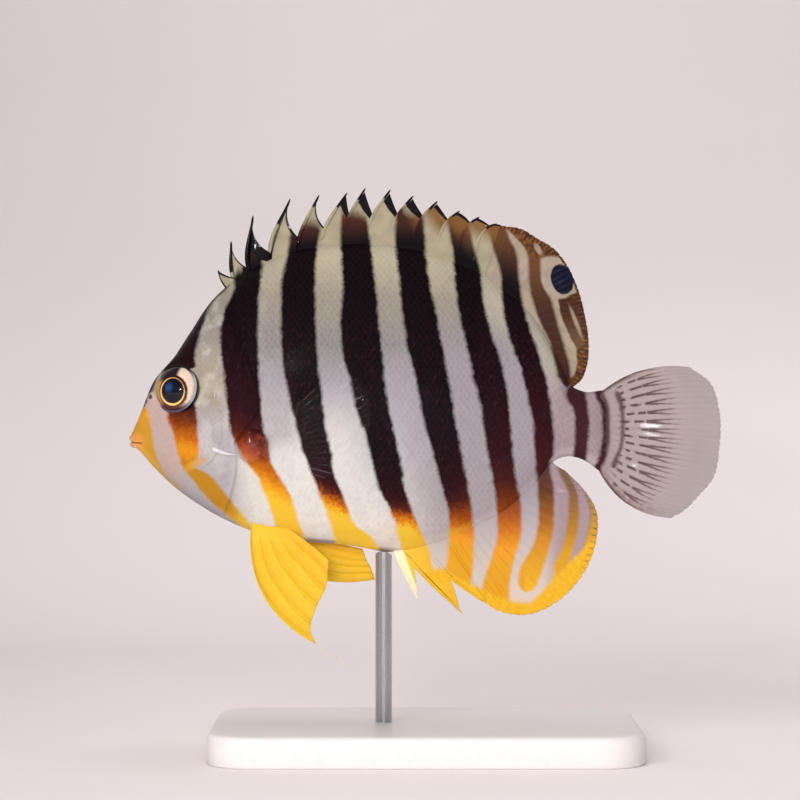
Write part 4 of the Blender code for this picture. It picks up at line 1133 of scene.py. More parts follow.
fins = dict(
    dorsalSpines=[
        # base x, notch in front of the spine, tip, bend of the membrane's edge behind it, and where
        # along the spine its black tip starts
        (-26.2, (-26.8, 62.1), (-27.3, 63.4), -0.05, 0.1),
        (-25.1, (-25.2, 62.4), (-25.6, 67.2), -0.15, 0.35),
        (-23.2, (-23.2, 63.6), (-22.7, 70.6), -0.18, 0.05),
        (-20.5, (-20.4, 65.7), (-17.8, 72.8), -0.17, 0.62),
        (-17.2, (-16.6, 67.6), (-14, 73.3), -0.16, 0.8),
        (-14.2, (-13.2, 68.9), (-10.3, 73.6), -0.02, 0.74),
        (-11.6, (-10, 70.6), (-7.9, 74.2), -0.02, 0.8),
        (-8.4, (-6.9, 70.6), (-4.6, 74), -0.02, 0.84),
        (-5.2, (-3.6, 70.7), (-1.6, 73.2), -0.02, 0.82),
        (-2.1, (-0.3, 70.5), (1.6, 72.5), 0, 0.82),
        (1.1, (3, 70), (4.5, 71.2), 0.07, 0.84),
        (4, (5.9, 69.6), (7.1, 70.4), 0.04, 0.84),
        (6.3, (8.5, 69.2), (9.4, 69.5), 0.08, 0.8),
    ],
    dorsalInk=[0.35, 0.6, 2.8, 0.75, 0.45, 1.15, 1.3, 1.1, 1.05, 0.5, 0.4, 0.35, 0.3],
    spinyEnd=(8.1, (9.95, 69.3)),
    softDorsal=dict(root=(8.1, 18.3), rays=18, bows=(0.0, 0.02), margin=[
        (9.95, 69.3), (12.6, 68.9), (14.8, 67.6), (16.9, 66.3), (18.6, 64.2), (20.1, 61.0),
        (21.0, 57.5), (21.5, 53.8), (21.3, 50.9), (20.5, 48.9), (19.4, 48.0),
    ]),
    analSpines=[
        (-4.5, (-3.5, 25.2), (-1.0, 20.1), -0.02, 2.0), (-3.3, (-1.6, 24.9), (4.8, 18.3), -0.03, 2.0),
        (-0.4, (3.1, 23.2), (7.6, 19.8), 0.0, 2.0),
    ],
    analEnd=(2.6, (8.0, 19.7)),
    softAnal=dict(root=(2.2, 16.7), rays=18, bows=(-0.02, -0.06), margin=[
        (7.6, 19.8), (9.4, 18.6), (11.6, 18.0), (14.0, 18.1), (16.6, 19.2), (19.3, 21.4),
        (21.5, 24.6), (22.6, 28.2), (22.5, 31.8), (20.8, 34.6), (18.4, 37.0),
    ]),
    tail=dict(root=(47.2, 36.9), rootX=22.9, rays=17, upperBow=0.11, lowerBow=0.14, margin=[
        (34.8, 50.7), (37.6, 48.6), (38.75, 44.9), (38.8, 40.3), (38.0, 36.2), (35.9, 33.6),
        (33.9, 31.6), (32.3, 30.7),
    ]),
    pectoral=dict(  # lengths by angle
        rays=15, flare=11, curl=0.8, lengths=[(-18, 8.4), (0, 12.2), (15, 14.2), (28, 14.6), (42, 13.4)],
    ),
    pelvicRoot=(-22.8, -18.0), pelvicSide=1.75, pelvicSpread=0.15, pelvicRays=6,
    leftPelvic=dict(
        margin=[(-14.4, 14.6), (-15, 16.2), (-14.2, 19.4), (-13, 22), (-12.7, 25.4)], bows=(-0.17, 0.02),
    ),
    rightPelvic=dict(margin=[(-6.7, 22.5), (-7.2, 24), (-7.9, 25.4), (-8.3, 26.6)], bows=(-0.19, -0.02)),
    thread=[(-15.2, 16.0), (-14.3, 14.6), (-12.9, 13.5), (-11.2, 12.6), (-10.0, 11.5)],
    # half thicknesses, the fade of the thick root, and how far roots stand under the skin
    membrane=0.085, edge=0.05, ray=0.10, sheathFade=1.3, sunk=1.1,
)


def bowedLines(roots, ends, bows, shares):
    # grid of (x, z): line i runs from roots[i] to ends[i] and bends by bows[i] times its length
    roots, ends = np.asarray(roots, float)[:, None], np.asarray(ends, float)[:, None]
    way = ends - roots
    across = np.stack([-way[..., 1], way[..., 0]], -1)
    control = (roots + ends) / 2 + 2 * np.asarray(bows)[:, None, None] * across
    u = shares[None, :, None]
    return (1 - u) ** 2 * roots + 2 * u * (1 - u) * control + u * u * ends


def rayRelief(place, reach, partAt=(0.4, 0.68)):
    # 1 on a ray and 0 between: a ray (a whole number of place) parts in two and then in four
    off = np.abs(place - np.round(place))
    off = np.abs(off - 0.22 * ease(reach, partAt[0], partAt[0] + 0.35))
    off = np.abs(off - 0.09 * ease(reach, partAt[1], partAt[1] + 0.25))
    width = 0.15 - 0.07 * ease(reach, partAt[0], partAt[0] + 0.1) - 0.02 * ease(reach, partAt[1], 1)
    return np.exp(-((off / width) ** 2))


def sheetMesh(name, middle, halves, out, finish, *marks):
    # both faces of a grid of middle points, half a thickness apart each way, joined along the
    # border; the marks are what the fin's material reads at each point
    rows, columns = middle.shape[:2]
    offset = np.asarray(out, float) * halves[..., None]
    points = np.concatenate([(middle - offset).reshape(-1, 3), (middle + offset).reshape(-1, 3)])
    front, count = gridFaces(rows, columns), rows * columns
    index = np.arange(count).reshape(rows, columns)
    border = np.concatenate([index[:-1, 0], index[-1, :-1], index[:0:-1, -1], index[0, :0:-1]])
    following = np.roll(border, -1)
    rim = np.stack([following, border, border + count, following + count], -1)
    faces = [np.concatenate([front, front[:, ::-1] + count, rim])]
    values = np.stack(np.broadcast_arrays(*marks), -1).reshape(count, -1)
    return buildMesh(name, points, faces, finish, {"fin": np.concatenate([values, values])})


def edgeFade(grid):
    # distance to the fin's margin along its line, in mm
    lengths = lineLengths(grid)
    return lengths[:, -1:] - lengths


def finHalves(reachMm, marginMm, relief, raySize=1.0, sheath=0.42):
    # membrane thin at the margin and thick at the sheath, rays raised on it and cut into segments
    share = reachMm / np.maximum(reachMm + marginMm, 1e-6)
    joint = 1 - 0.3 * np.exp(-(((reachMm / 0.62) % 1 - 0.5) / 0.14) ** 2) * ease(share, 0.25, 0.4)
    thick = fins["membrane"] + (fins["edge"] - fins["membrane"]) * ease(marginMm, 1.5, 0.0)
    thick = thick + sheath * np.exp(-np.maximum(reachMm, 0) / fins["sheathFade"])
    relief = relief * ease(reachMm, 0.0, 1.4)
    return thick + fins["ray"] * raySize * relief * joint * (1 - 0.45 * share) * ease(marginMm, -0.05, 0.25)


def softFin(name, plan, roots, bows, out, finish, wave=0.12, partAt=(0.4, 0.68), sunk=None, sheath=0.42):
    # bent lines from the roots to the plan's margin, with 14 of them from each ray to the next
    rays = plan["rays"]
    shares = np.linspace(0, 1, (rays - 1) * 14 + 1)
    place = shares * (rays - 1)
    ends = alongLine(plan["margin"], shares)
    reach = np.linspace(0, 1, 66)
    tip = rayRelief(place, np.ones_like(place), partAt)
    roots = np.asarray(roots(shares))
    ends = roots + (ends - roots) * (1 - 0.012 * (1 - tip))[:, None]
    grid = bowedLines(roots, ends, bows(shares), reach)
    sunk = fins["sunk"] if sunk is None else sunk
    reachMm, marginMm = lineLengths(grid) - sunk, edgeFade(grid)
    relief = rayRelief(place[:, None], reach[None, :], partAt)
    halves = finHalves(reachMm, marginMm, relief, 1.0, sheath)
    y = wave * np.sin(place[:, None] * 0.9) * reach**2 + wave * np.sin(place[:, None] * 0.31 + 1) * reach
    middle = np.stack([grid[..., 0], y, grid[..., 1]], -1)
    return sheetMesh(name, middle, halves, out, finish, place[:, None], reachMm, marginMm)


def sunkRoot(x, top):
    # a point of the body's ridge moved under the skin
    x, line, step = np.asarray(x, float), (backLine if top else bellyLine), 0.1
    slope = (line(x + step) - line(x - step)) / (2 * step)
    side = 1 if top else -1
    length = np.hypot(1, slope)
    return np.stack([x + side * slope * fins["sunk"] / length, line(x) - side * fins["sunk"] / length], -1)


def spineLine(spine, top, shares):
    # from the root under the skin through the notch in front of the spine to its tip
    base, notch, tip = spine[:3]
    return alongLine([sunkRoot(base, top), notch, tip], shares)


def notchShare(spine, top):
    # where on the spine's line its notch lies
    base, notch, tip = spine[:3]
    first = np.linalg.norm(np.array(notch) - sunkRoot(base, top))
    return first / (first + np.linalg.norm(np.array(tip) - np.array(notch)))


def spinyFin(name, spines, end, top, ink, finish, wave=0.1):
    # membrane: between two spines a grid that blends from one spine's line to the next, its edge
    # a bent line from near the tip to the notch; spines: tapering bars; ink: black margin and tips
    rows, between = np.linspace(0, 1, 34), np.linspace(0, 1, 15)
    grids, inks = [], []
    for index, spine in enumerate(spines):
        start = spineLine(spine, top, rows * 0.965)
        if index + 1 < len(spines):
            following = spines[index + 1]
            stop = spineLine(following, top, rows * notchShare(following, top))
        else:
            root = sunkRoot(end[0], top)
            stop = root + rows[:, None] * (np.array(end[1]) - root)
        q = between[:, None, None]
        plain = (1 - q) * start[None] + q * stop[None]
        edge = bowedLines([start[-1]], [stop[-1]], [spine[3]], between)[0]
        grid = plain + rows[None, :, None] ** 2.2 * (edge - plain[:, -1])[:, None]
        away = edgeFade(grid)
        spread = 1.05 + 0.3 * np.exp(-((between / 0.16) ** 1.4)) - 0.45 * ease(between, 0.3, 1.0)
        width = ink[index] * spread
        blank = 0.0 if ink[index] else -1.0
        grids.append(grid if index == 0 else grid[1:])
        inks.append((width[:, None] - away + blank)[0 if index == 0 else 1:])
    grid, black = np.concatenate(grids), np.concatenate(inks)
    reachMm, marginMm = lineLengths(grid) - fins["sunk"], edgeFade(grid)
    halves = finHalves(reachMm, marginMm, np.zeros_like(reachMm))
    y = wave * np.sin(np.arange(len(grid)) * 2 * np.pi / 14)[:, None] * rows * 0.6
    middle = np.stack([grid[..., 0], y, grid[..., 1]], -1)
    made = [sheetMesh(name, middle, halves, (0, 1, 0), finish, black, reachMm, marginMm)]
    parts, marks, shares, around = [], [], np.linspace(0.02, 1, 26), 12
    for spine in spines:
        line = spineLine(spine, top, shares)
        path = np.stack([line[:, 0], 0 * shares, line[:, 1]], -1)
        length = lineLengths(line[None])[0, -1]
        radii = (0.36 - 0.24 * shares) * min(1, 0.55 + length / 14)
        radii = radii * np.sqrt(np.clip((1.004 - shares) / 0.06, 0, 1)) + 0.015
        parts.append(tubeParts(path, radii, (0, 1, 0), around, 0.9))
        height = np.append(np.repeat(shares, around), shares[[0, -1]])
        marks.append(np.stack([(height - spine[4]) * 5, height * length, (1 - height) * length], -1))
    points, faces = joinParts(parts)
    spineName = name.replace("membrane", "spines")
    made.append(buildMesh(spineName, points, faces, finish, {"fin": np.concatenate(marks)}))
    return made


dorsalMarks = dict(
    # amber above this line of heights by x, and behind this line of x by heights
    amberFrom=[
        (9.4, 70), (10.2, 69.2), (11, 68.5), (12.4, 67.1), (13.5, 65.8), (15, 64.9), (16.2, 65.2),
        (17.4, 65.1), (19, 64), (21, 62),
    ],
    amberBehind=[
        (61.4, 24), (60.6, 20.2), (60.1, 19), (59.6, 17.4), (58.6, 17.6), (57, 18), (55.6, 18.6),
        (54.4, 19.2), (53.2, 19.8), (51.6, 19.9), (50.3, 19.8), (49.4, 19.3), (48.8, 18.4), (48.2, 17),
    ],
    # ellipses: the dark spot, the pale ring round it and two pale marks
    spot=(17.96, 62.2, 2.03, 1.45, 18), ring=(17.6, 62.3, 2.7, 2.35, 18),
    notch=(14.8, 66.2, 0.9, 0.36, 30), wedge=(19.8, 56.5, 2.3, 0.27, 21),
)


def dorsalFinish(name, spiny):
    # the bars on cream; the soft part is amber behind, with a dark spot in a pale ring
    kit = Kit(name, roughness=0.45, coat=0.18, coatRoughness=0.06, shine=0.1)
    first, _, margin = kit.attribute("fin")
    mark = markedColour(kit, 0.6, "dorsal")
    x, z = mark["x"], mark["z"]
    creams = ((142, 133, 110), (156, 145, 120)) if spiny else ((142, 129, 111), (156, 141, 124))
    cream = kit.mix(kit.noise(0.5, 2).step(0.3, 0.7), *creams)
    colour = kit.mix(mark["bar"], cream, mark["tone"])
    if spiny:
        # ochre lobes towards the rear, a black margin behind each spine and black spine tips
        ochre = x.step(-3.2, 0.4) * margin.step(3.2, 1) * (kit.noise(0.8, 2) * 0.4 + 0.7)
        colour = colour.stained(ochre, (112, 76, 34))
        colour = colour.stained(first.step(-0.08, 0.08), hues["black"])
    else:
        grain = kit.noise(1.6, 2)
        amber = (z - kit.lengthLine(x, dorsalMarks["amberFrom"])).step(-0.2, 0.25)
        behind = x - kit.heightLine(z, dorsalMarks["amberBehind"])
        amber = amber.most(behind.step(-0.15, 0.15)).most(margin.step(0.4, 0.22))
        dash = abs(first * 3 - (first * 3).nearest() + (grain - 0.5) * 0.3).step(0.26, 0.1)
        tint = kit.mix(grain.step(0.35, 0.65), (70, 40, 20), (114, 74, 36))
        inner = (margin.step(0.8, 1.3) * z.step(61, 60)).least(z.step(52.4, 54))
        tint = tint.stained(inner * 0.8, kit.mix(z.step(58.6, 55), (48, 27, 18), (92, 70, 52)))
        tint = tint.stained(z.step(54, 56.5) * z.step(66, 63) * 0.55, (62, 32, 22))
        tint = tint.stained(dash * margin.step(1.5, 0.3) * 0.8, (40, 20, 12))
        colour = colour.stained(amber, tint)
        spots = {label: kit.ellipse(*dorsalMarks[label]) for label in ("notch", "ring", "spot", "wedge")}
        wide = (grain - 0.5) * 0.25
        colour = colour.stained((spots["notch"] + wide * 2).step(1.3, 0.6) * 0.8, cream)
        colour = colour.stained((spots["wedge"] + wide).step(1.4, 0.5) * 0.75, cream)
        ring = (spots["ring"] + wide * 0.4).step(1.06, 0.9) * (x + (z - 62) * 0.34).step(18.8, 17.9)
        colour = colour.stained(ring * margin.step(0.25, 0.4), cream)
        colour = colour.stained((spots["spot"] + wide * 0.5).step(1.06, 0.94), (8, 8, 30))
    return kit.finish(colour)


analHues = dict(
    # by height: the rear edge, the rear bars and the front bars
    golden=[(24, (212, 158, 34)), (28, (196, 144, 40)), (32, (160, 122, 60)), (36, (128, 98, 60))],
    olive=[(26, (196, 140, 30)), (29, (166, 115, 32)), (32, (138, 95, 44)), (35, (108, 82, 56))],
    russet=[
        (22, (214, 158, 26)), (28, (184, 121, 24)), (30, (154, 92, 16)), (32, (126, 71, 12)),
        (34, (90, 49, 18)), (36, (76, 45, 30)), (38, (60, 36, 25)),
    ],
)


def analFinish():
    # the bars turn to gold below and at the rear, and the margin is dashed
    kit = Kit("wet_anal_fin", roughness=0.42, coat=0.22, coatRoughness=0.06, shine=0.15)
    first, _, margin = kit.attribute("fin")
    mark = markedColour(kit, 0.6, "anal")
    x, z = mark["x"], mark["z"]
    grain = kit.noise(1.6, 2)
    rear = (x - kit.heightLine(z, [(spot[0], spot[1]) for spot in bars["analEdge"]])).step(-0.1, 0.5)
    golden, olive, russet = (kit.ramp(z, analHues[label]) for label in ("golden", "olive", "russet"))
    shade = kit.mix(x.step(12.6, 13.4), mark["tone"], russet)
    shade = shade.stained(x.step(17, 17.4), olive)
    colour = kit.mix(mark["bar"], mark["ground"], kit.mix(rear, shade, golden))
    fill = (kit.lengthLine(x, heights["fill"]) - z + (grain - 0.5) * 0.6).step(-0.5, 0.5)
    gold = kit.mix(grain.step(0.3, 0.7), (210, 156, 26), (220, 168, 30))
    colour = colour.stained(fill, gold)
    dash = abs(first * 2 - (first * 2).nearest() + (grain - 0.5) * 0.3).step(0.2, 0.06)
    dash = dash * margin.step(1.1, 0.2) * x.step(18.5, 20.5) * z.step(23, 25) * grain.step(0.35, 0.6)
    colour = colour.stained(dash * 0.75, (92, 54, 22))
    pale = x.step(-0.4, -1) * (kit.z + kit.x * 2.74 - 17.8).step(1, 0.3)
    colour = colour.stained(pale * 0.8, (240, 226, 190))
    return kit.finish(colour)


def tailFinish():
    # dark dashes on the rays, which part in two as the rays do, on a clear skin
    kit = Kit("clear_tail_fin", roughness=0.36, coat=0.25, coatRoughness=0.05, shine=0.25)
    place, reach, margin = kit.attribute("fin")
    mark = markedColour(kit, 0.6, "tail")
    grain = kit.noise(1.4, 2)
    share = reach / (reach + margin)
    own = place.nearest()
    off = abs(abs(place - own) - share.step(0.3, 0.6) * 0.24)
    patch = kit.noise(0.55, 2)
    broken = (reach * 3.4 + kit.chance(own) * 6.3 + (patch - 0.5) * 9).wave() + share.step(0.28, 0.5) * 2.0
    wide = (0.26 - share * 0.32).most(0.05) * (0.5 + patch)
    dash = (wide - off + (grain - 0.5) * 0.16).step(-0.05, 0.08) * broken.step(-0.55, 0.15)
    dash = dash * reach.step(1.3, 2.6) * share.step(0.76, 0.5)
    ground = kit.mix(share.step(0.5, 0.8), (156, 141, 139), (160, 147, 146))
    ground = ground.stained(off.step(0.12, 0) * 0.25, (150, 128, 126))
    ink = kit.mix(grain.step(0.3, 0.7), (56, 34, 36), (86, 60, 60))
    ink = ink.stained(share.step(0.35, 0.6), (98, 78, 78))
    colour = kit.mix(dash * 0.9, ground, ink)
    # the outermost rays are dark near the root
    rim = place.step(0.8, 0.1).most(place.step(15.2, 15.9)) * share.step(0.5, 0.25)
    colour = colour.stained(rim * 0.8, (64, 40, 40))
    reddish = place.step(14.2, 15.6) * share.step(1, 0.5) * grain.step(0.3, 0.6)
    colour = colour.stained(reddish * 0.5, (110, 74, 72))
    base = kit.x.step(27.2, 26.7)
    shade = kit.mix(kit.x.step(24.4, 24.9), (58, 31, 37), (76, 52, 52))
    colour = colour.stained(mark["bar"] * base * 0.9, shade)
    kit.feed("Alpha", 1.0 - share.step(0.6, 1) * 0.35 + dash * 0.2)
    return kit.finish(colour, kit.noise(1.9, 2), 0.09, 1)


def pectoralFinish():
    # clear, with faint rays and a reddish root
    kit = Kit("clear_pectoral_fin", roughness=0.3, coat=0.1, coatRoughness=0.05, shine=0.2)
    place, reach, _ = kit.attribute("fin")
    clear = kit.mix(kit.noise(0.5, 2), (205, 195, 190), (226, 216, 214))
    kit.feed("Base Color", kit.mix(reach.step(1.8, 0.4), clear, (150, 84, 50)))
    ray = abs(place - place.nearest()).step(0.12, 0.04)
    cloud = kit.noise(0.35, 1).step(0.5, 0.72)
    kit.feed("Alpha", 0.003 + ray * (0.006 + cloud * 0.05) + reach.step(1.2, 0.3) * 0.12)
    return kit.material


def pelvicFinish():
    # yellow, darker in the furrows between rays, with a pale thread
    kit = Kit("wet_yellow_fin", roughness=0.4, coat=0.25, coatRoughness=0.07, shine=0.25)
    place, reach, margin = kit.attribute("fin")
    colour = kit.mix(kit.noise(0.6, 3), (224, 184, 46), (216, 168, 34))
    furrow = abs(place - 0.5 - (place - 0.5).nearest()).step(0.16, 0) * reach.step(0.5, 2.5)
    colour = colour.stained(furrow * 0.35, (206, 146, 22))
    colour = colour.stained(place.step(2.6, 4.6) * 0.35, (226, 162, 40))
    colour = colour.stained(margin.step(-0.2, -0.8), (214, 198, 178))
    return kit.finish(colour)


spinyMaterial = dorsalFinish("wet_spiny_dorsal_fin", True)
for piece in spinyFin(
    "membrane_dorsal", fins["dorsalSpines"], fins["spinyEnd"], True, fins["dorsalInk"], spinyMaterial,
):
    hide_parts("fin_dorsal_spiny")
    pieces.append((piece, "dorsal_fin"))


def medianFin(name, plan, top, finish):
    # a soft fin whose roots run along the ridge of the back or of the belly
    low, high = plan["root"]
    return softFin(
        name, plan, lambda s: sunkRoot(low + (high - low) * s, top),
        lambda s: np.interp(s, [0, 1], plan["bows"]), (0, 1, 0), finish,
    )


piece = medianFin("fin_dorsal_rays", fins["softDorsal"], True, dorsalFinish("wet_soft_dorsal_fin", False))
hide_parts("fin_dorsal_soft")
pieces.append((piece, "dorsal_fin"))

analMaterial = analFinish()
analPieces = [medianFin("fin_anal_rays", fins["softAnal"], False, analMaterial)]
analPieces += spinyFin(
    "membrane_anal", fins["analSpines"], fins["analEnd"], False, [0, 0, 0], analMaterial, wave=0.05,
)
for piece in analPieces:
    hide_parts("fin_anal")
    pieces.append((piece, "anal_fin"))

tail = fins["tail"]
piece = softFin(
    "fin_tail_rays", tail,
    lambda s: np.stack([tail["rootX"] + 0 * s, np.interp(s, [0, 1], tail["root"])], -1),
    lambda s: tail["upperBow"] * (1 - 2 * s).clip(0) ** 1.5 - tail["lowerBow"] * (2 * s - 1).clip(0) ** 1.5,
    (0, 1, 0), tailFinish(), wave=0.2, partAt=(0.28, 0.52), sunk=0.7, sheath=0.8,
)
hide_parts("fin_caudal")
pieces.append((piece, "clear_fin"))


def pectoralFin(name, turned, finish):
    # a rounded fan that stands off the flank behind its fleshy base, its tips bent outwards
    plan = fins["pectoral"]
    columns, rows = (plan["rays"] - 1) * 12 + 1, 60
    share = np.linspace(-1, 1, columns)[:, None]
    angles = np.linspace(plan["lengths"][0][0], plan["lengths"][-1][0], columns)
    length = smoothLine(plan["lengths"])(angles)[:, None]
    place = np.linspace(0, plan["rays"] - 1, columns)[:, None]
    length = length * (1 - 0.012 * (1 - rayRelief(place, np.ones_like(place), (0.35, 0.65))))
    angles, reach = np.radians(angles)[:, None], np.linspace(0, 1, rows)[None, :]
    flare = math.radians(plan["flare"])
    aft = np.array([math.cos(flare), -math.sin(flare), 0])
    out = np.array([-math.sin(flare), -math.cos(flare), 0])
    middle = np.array([lobe["x"], -flank(lobe["x"], lobe["z"]) - 0.5, lobe["z"]])
    up = np.array([0, 0, 1])
    rootTurn = (np.radians(40) * share)[..., None]
    start = np.cos(rootTurn) * 0.9 * lobe["length"] * aft + np.sin(rootTurn) * 0.8 * lobe["height"] * up
    toward = np.cos(angles)[..., None] * aft + np.sin(angles)[..., None] * up
    curl = (plan["curl"] * reach**2)[..., None] * out
    grid = middle + start + (reach * (length + 0.6))[..., None] * toward + curl
    reachMm, marginMm = reach * length, (1 - reach) * length
    relief = rayRelief(place, reach, (0.35, 0.65))
    halves = finHalves(reachMm, marginMm, relief, 0.8) * 0.75
    return sheetMesh(name, turned(grid), halves, turned(out), finish, place, reachMm, marginMm)


pectoralMaterial = pectoralFinish()
for side, turned in sides.items():
    piece = pectoralFin(f"fin_pectoral_rays_{side}", turned, pectoralMaterial)
    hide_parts(f"fin_pectoral_{side}")
    pieces.append((piece, "clear_fin"))


def keelHeight(x, y):
    # height of the belly's surface at a distance from the middle plane
    outer, inner = sectionPowers(x)
    part = np.clip((np.abs(y) - body["crest"]) / (halfWidth(x) - body["crest"]), 0, 1)
    height = (1 - part ** (1 / inner)) ** (1 / outer)
    return (backLine(x) + bellyLine(x)) / 2 - (backLine(x) - bellyLine(x)) / 2 * height


def pelvicDistance(drop):
    # distance from the middle plane at a height below the root
    return fins["pelvicSide"] + fins["pelvicSpread"] * drop


def pelvicFin(name, side, plan, finish):
    # a pointed fin hung from the belly, pleated along its rays, its leading edge a thick spine
    columns, rows = (fins["pelvicRays"] - 1) * 22 + 1, 64
    share = np.linspace(0, 1, columns)
    low, high = fins["pelvicRoot"]
    x = low + (high - low) * share
    root = np.stack([x, keelHeight(x, fins["pelvicSide"]) + 0.7], -1)
    reach = np.linspace(0, 1, rows)
    grid = bowedLines(root, alongLine(plan["margin"], share), np.interp(share, [0, 1], plan["bows"]), reach)
    place = share[:, None] * (fins["pelvicRays"] - 1)
    reachMm, marginMm = lineLengths(grid) - 1.0, edgeFade(grid)
    relief = rayRelief(place, reach[None, :], (0.3, 0.6))
    spine = 0.2 * np.exp(-((place / 0.16) ** 2)) * ease(reach, 1.0, 0.6)
    halves = finHalves(reachMm, marginMm, relief, 1.3) + spine
    fold = 0.13 * np.cos(2 * np.pi * place) * ease(reach, 0.05, 0.5)
    y = pelvicDistance(grid[:, :1, 1] - grid[..., 1]) + fold
    middle = np.stack([grid[..., 0], side * y, grid[..., 1]], -1)
    return sheetMesh(name, middle, halves, (0, 1, 0), finish, place, reachMm, marginMm)


pelvicMaterial = pelvicFinish()
for side, sign in (("left", -1), ("right", 1)):
    piece = pelvicFin(f"fin_pelvic_rays_{side}", sign, fins[f"{side}Pelvic"], pelvicMaterial)
    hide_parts(f"fin_pelvic_{side}")
    pieces.append((piece, "yellow_fin"))


def makeThread(finish):
    # the thin thread that the left fin's tip runs out into
    count, around = 40, 10
    spots = alongLine(fins["thread"], np.linspace(0, 1, count))
    rootHeight = keelHeight(fins["pelvicRoot"][0], fins["pelvicSide"])
    path = np.stack([spots[:, 0], -pelvicDistance(rootHeight - spots[:, 1]), spots[:, 1]], -1)
    radii = 0.05 + 0.15 * np.linspace(1, 0, count) ** 3
    points, faces = tubeParts(path, radii, (0, 1, 0), around)
    fade = np.append(np.repeat(np.linspace(0, -3, count), around), [0, -3])
    values = np.stack([0 * fade, 8 + 0 * fade, fade], -1)
    return buildMesh("fin_pelvic_thread", points, faces, finish, {"fin": values})


piece = makeThread(pelvicMaterial)
pieces.append((piece, "yellow_fin"))
print("fins done")


# Display stand: the CAD rod and a plate with rounded edges

stand = dict(length=56.0, width=34.0, height=4.0, corner=6.0, round=0.8)


def plateFinish():
    # matt pale paint with a faint grain
    kit = Kit("plate_paint", roughness=0.42, coat=0.15, coatRoughness=0.3)
    grain = kit.noise(1.2, 4, 0.6)
    return kit.finish(kit.mix(grain, (220, 214, 212), (230, 224, 222)), kit.noise(6, 2), 0.015, 0.5)


def makePlate(finish):
    # ring i goes up the rounded edge profile and j round the plate's outline
    edge = np.linspace(0, math.pi / 2, 9)
    inset = np.concatenate([[0.25, 0.0], stand["round"] * (1 - np.cos(edge)), [4.0]])
    rounded = stand["height"] - stand["round"] * (1 - np.sin(edge))
    levels = np.concatenate([[0.0, 0.25], rounded, [stand["height"]]])
    turns = np.linspace(0, math.pi / 2, 15)
    outline = []
    for corner in range(4):
        turn = turns + corner * math.pi / 2
        signX, signY = (1 if corner in (0, 3) else -1), (1 if corner in (0, 1) else -1)
        middleX = (stand["length"] / 2 - stand["corner"]) * signX + 0 * turn
        middleY = (stand["width"] / 2 - stand["corner"]) * signY + 0 * turn
        outline.append(np.stack([np.cos(turn), np.sin(turn), middleX, middleY], -1))
    outline = np.concatenate(outline)
    reach = np.maximum(stand["corner"] - inset, 0)[:, None]
    shrink = np.maximum(inset - stand["corner"], 0)[:, None]
    x = outline[:, 2] - np.sign(outline[:, 2]) * shrink + outline[:, 0] * reach
    y = outline[:, 3] - np.sign(outline[:, 3]) * shrink + outline[:, 1] * reach
    rings = np.stack([x, y, levels[:, None] + 0 * x], -1)
    return buildMesh("stand_plate", *closedGrid(rings, (0, 0, 0), (0, 0, stand["height"])), finish)


def steelFinish():
    # steel brushed along the rod
    kit = Kit("rod_steel", roughness=0.3, metallic=1.0)
    brush = kit.noise(3, 3, 0.6, stretch=(1, 1, 14))
    kit.feed("Base Color", kit.mix(brush, (170, 170, 174), (205, 205, 208)))
    kit.feed("Roughness", brush * 0.25 + 0.18)
    return kit.material


plate = makePlate(plateFinish())
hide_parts("stand_base")
pieces.append((plate, "stand_plate"))
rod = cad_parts["stand_rod"]
rod.data.materials.clear()
rod.data.materials.append(steelFinish())

for piece, slotName in pieces:
    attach(piece, "root")
print("stand done,", len(pieces), "pieces")


# Stage: curved backdrop, lights and camera

studio = dict(
    wall=(218, 209, 208), floor=(248, 238, 237), shaded=(190, 186, 184), beyond=(216, 207, 206),
    floorFront=[-600, -200], floorDepth=260, wallHeight=520, bend=120, width=900,
    sky=(0.86, 0.88, 0.92, 1), skyStrength=0.28,
    lens=120, distance=350.9, aimX=-3.355, aimZ=46.32,
)


def makeBackdrop():
    # a floor that bends up into a wall behind the model, as one sheet swept along X
    bend = np.linspace(0, math.pi / 2, 24)
    depth, radius = studio["floorDepth"], studio["bend"]
    y = np.concatenate([studio["floorFront"], depth - radius + radius * np.sin(bend), [depth]])
    z = np.concatenate([[0, 0], radius * (1 - np.cos(bend)), [studio["wallHeight"]]])
    x = np.linspace(-studio["width"], studio["width"], 5)
    grid = np.stack([x[None, :] + 0 * y[:, None], y[:, None] + 0 * x, z[:, None] + 0 * x], -1)
    kit = Kit("backdrop_paper", roughness=0.9)
    # painted light: the floor part is lighter than the wall to even out the lamps' light on the sheet, and
    # painted shade darkens its left half
    paper = kit.mix(kit.z.step(90, 5) * 0.9 + kit.noise(0.01, 2) * 0.1, studio["wall"], studio["floor"])
    kit.feed("Base Color", paper.stained(kit.x.step(0, -110) * 0.5, studio["shaded"]))
    # the sheet's faces point away from the model, and the camera looks through them from behind
    seen = kit.wire("ShaderNodeLightPath", output="Is Camera Ray")
    within = kit.wire("ShaderNodeNewGeometry", output="Backfacing")
    kit.feed("Alpha", 1.0 - seen * (1.0 - within))
    sheet = buildMesh("backdrop", grid.reshape(-1, 3), [gridFaces(len(y), len(x))], kit.material)


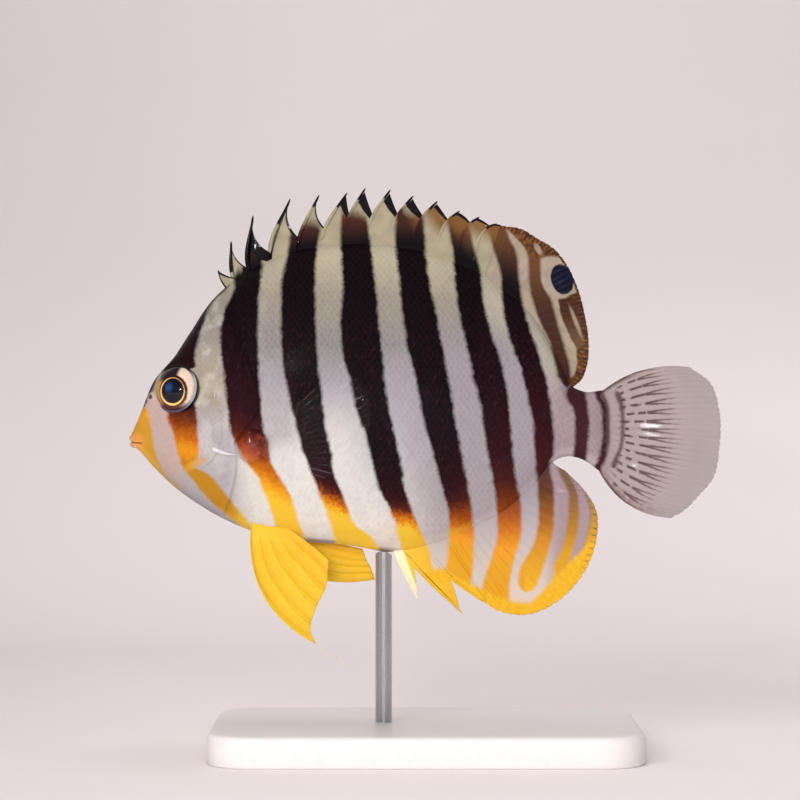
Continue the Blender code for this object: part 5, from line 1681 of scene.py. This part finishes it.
def addLight(name, size, power, place, glints=False, target=(0.0, 0.0, 0.045)):
    # a soft lamp, placed in metres; only the small ones show as glints on wet surfaces
    data = bpy.data.lights.new(name, "AREA")
    data.shape, data.size, data.energy = "DISK", size, power
    light = bpy.data.objects.new(name, data)
    bpy.context.scene.collection.objects.link(light)
    light.location = place
    light.visible_glossy = glints
    aim = np.array(target) - np.array(place)
    yaw = math.atan2(aim[1], aim[0])
    pitch = math.atan2(aim[2], math.hypot(aim[0], aim[1]))
    light.rotation_euler = (math.pi / 2 + pitch, 0, yaw - math.pi / 2)


def makeWorld(tree):
    # a dim grey sky; the camera sees the paper's own colour there
    air = Tree(tree)
    seen = air.wire("ShaderNodeLightPath", output="Is Camera Ray")
    sky = air.wire("ShaderNodeBackground", values={0: studio["sky"], 1: studio["skyStrength"]})
    beyond = air.wire("ShaderNodeBackground", values={0: paint(*studio["beyond"])})
    both = air.wire("ShaderNodeMixShader", values={0: seen, 1: sky, 2: beyond})
    tree.links.new(both.socket, tree.nodes["World Output"].inputs[0])


makeBackdrop()
addLight("key", 0.45, 2.35, (-0.36, -0.6, 0.35))
addLight("fill", 0.3, 2.0, (0.0, -0.6, 0.14))
addLight("top", 0.5, 1.8, (0.0, 0.1, 0.8))
addLight("sparkle", 0.03, 0.35, (-0.14, -0.5, 0.14), glints=True)
addLight("glint", 0.014, 0.035, (0.08, -0.5, 0.036), glints=True)
world = bpy.data.worlds.new("studio")
bpy.context.scene.world = world
world.use_nodes = True
makeWorld(world.node_tree)
bpy.context.scene.view_settings.view_transform = "Standard"

cameraData = bpy.data.cameras.new("camera")
cameraData.lens, cameraData.sensor_width, cameraData.sensor_fit = studio["lens"], 36.0, "HORIZONTAL"
cameraData.clip_start, cameraData.clip_end = 0.01, 10.0
camera = bpy.data.objects.new("camera", cameraData)
bpy.context.scene.collection.objects.link(camera)
camera.location = (studio["aimX"] * mm, -studio["distance"] * mm, studio["aimZ"] * mm)
camera.rotation_euler = (math.pi / 2, 0, 0)
bpy.context.scene.camera = camera
print("stage done")
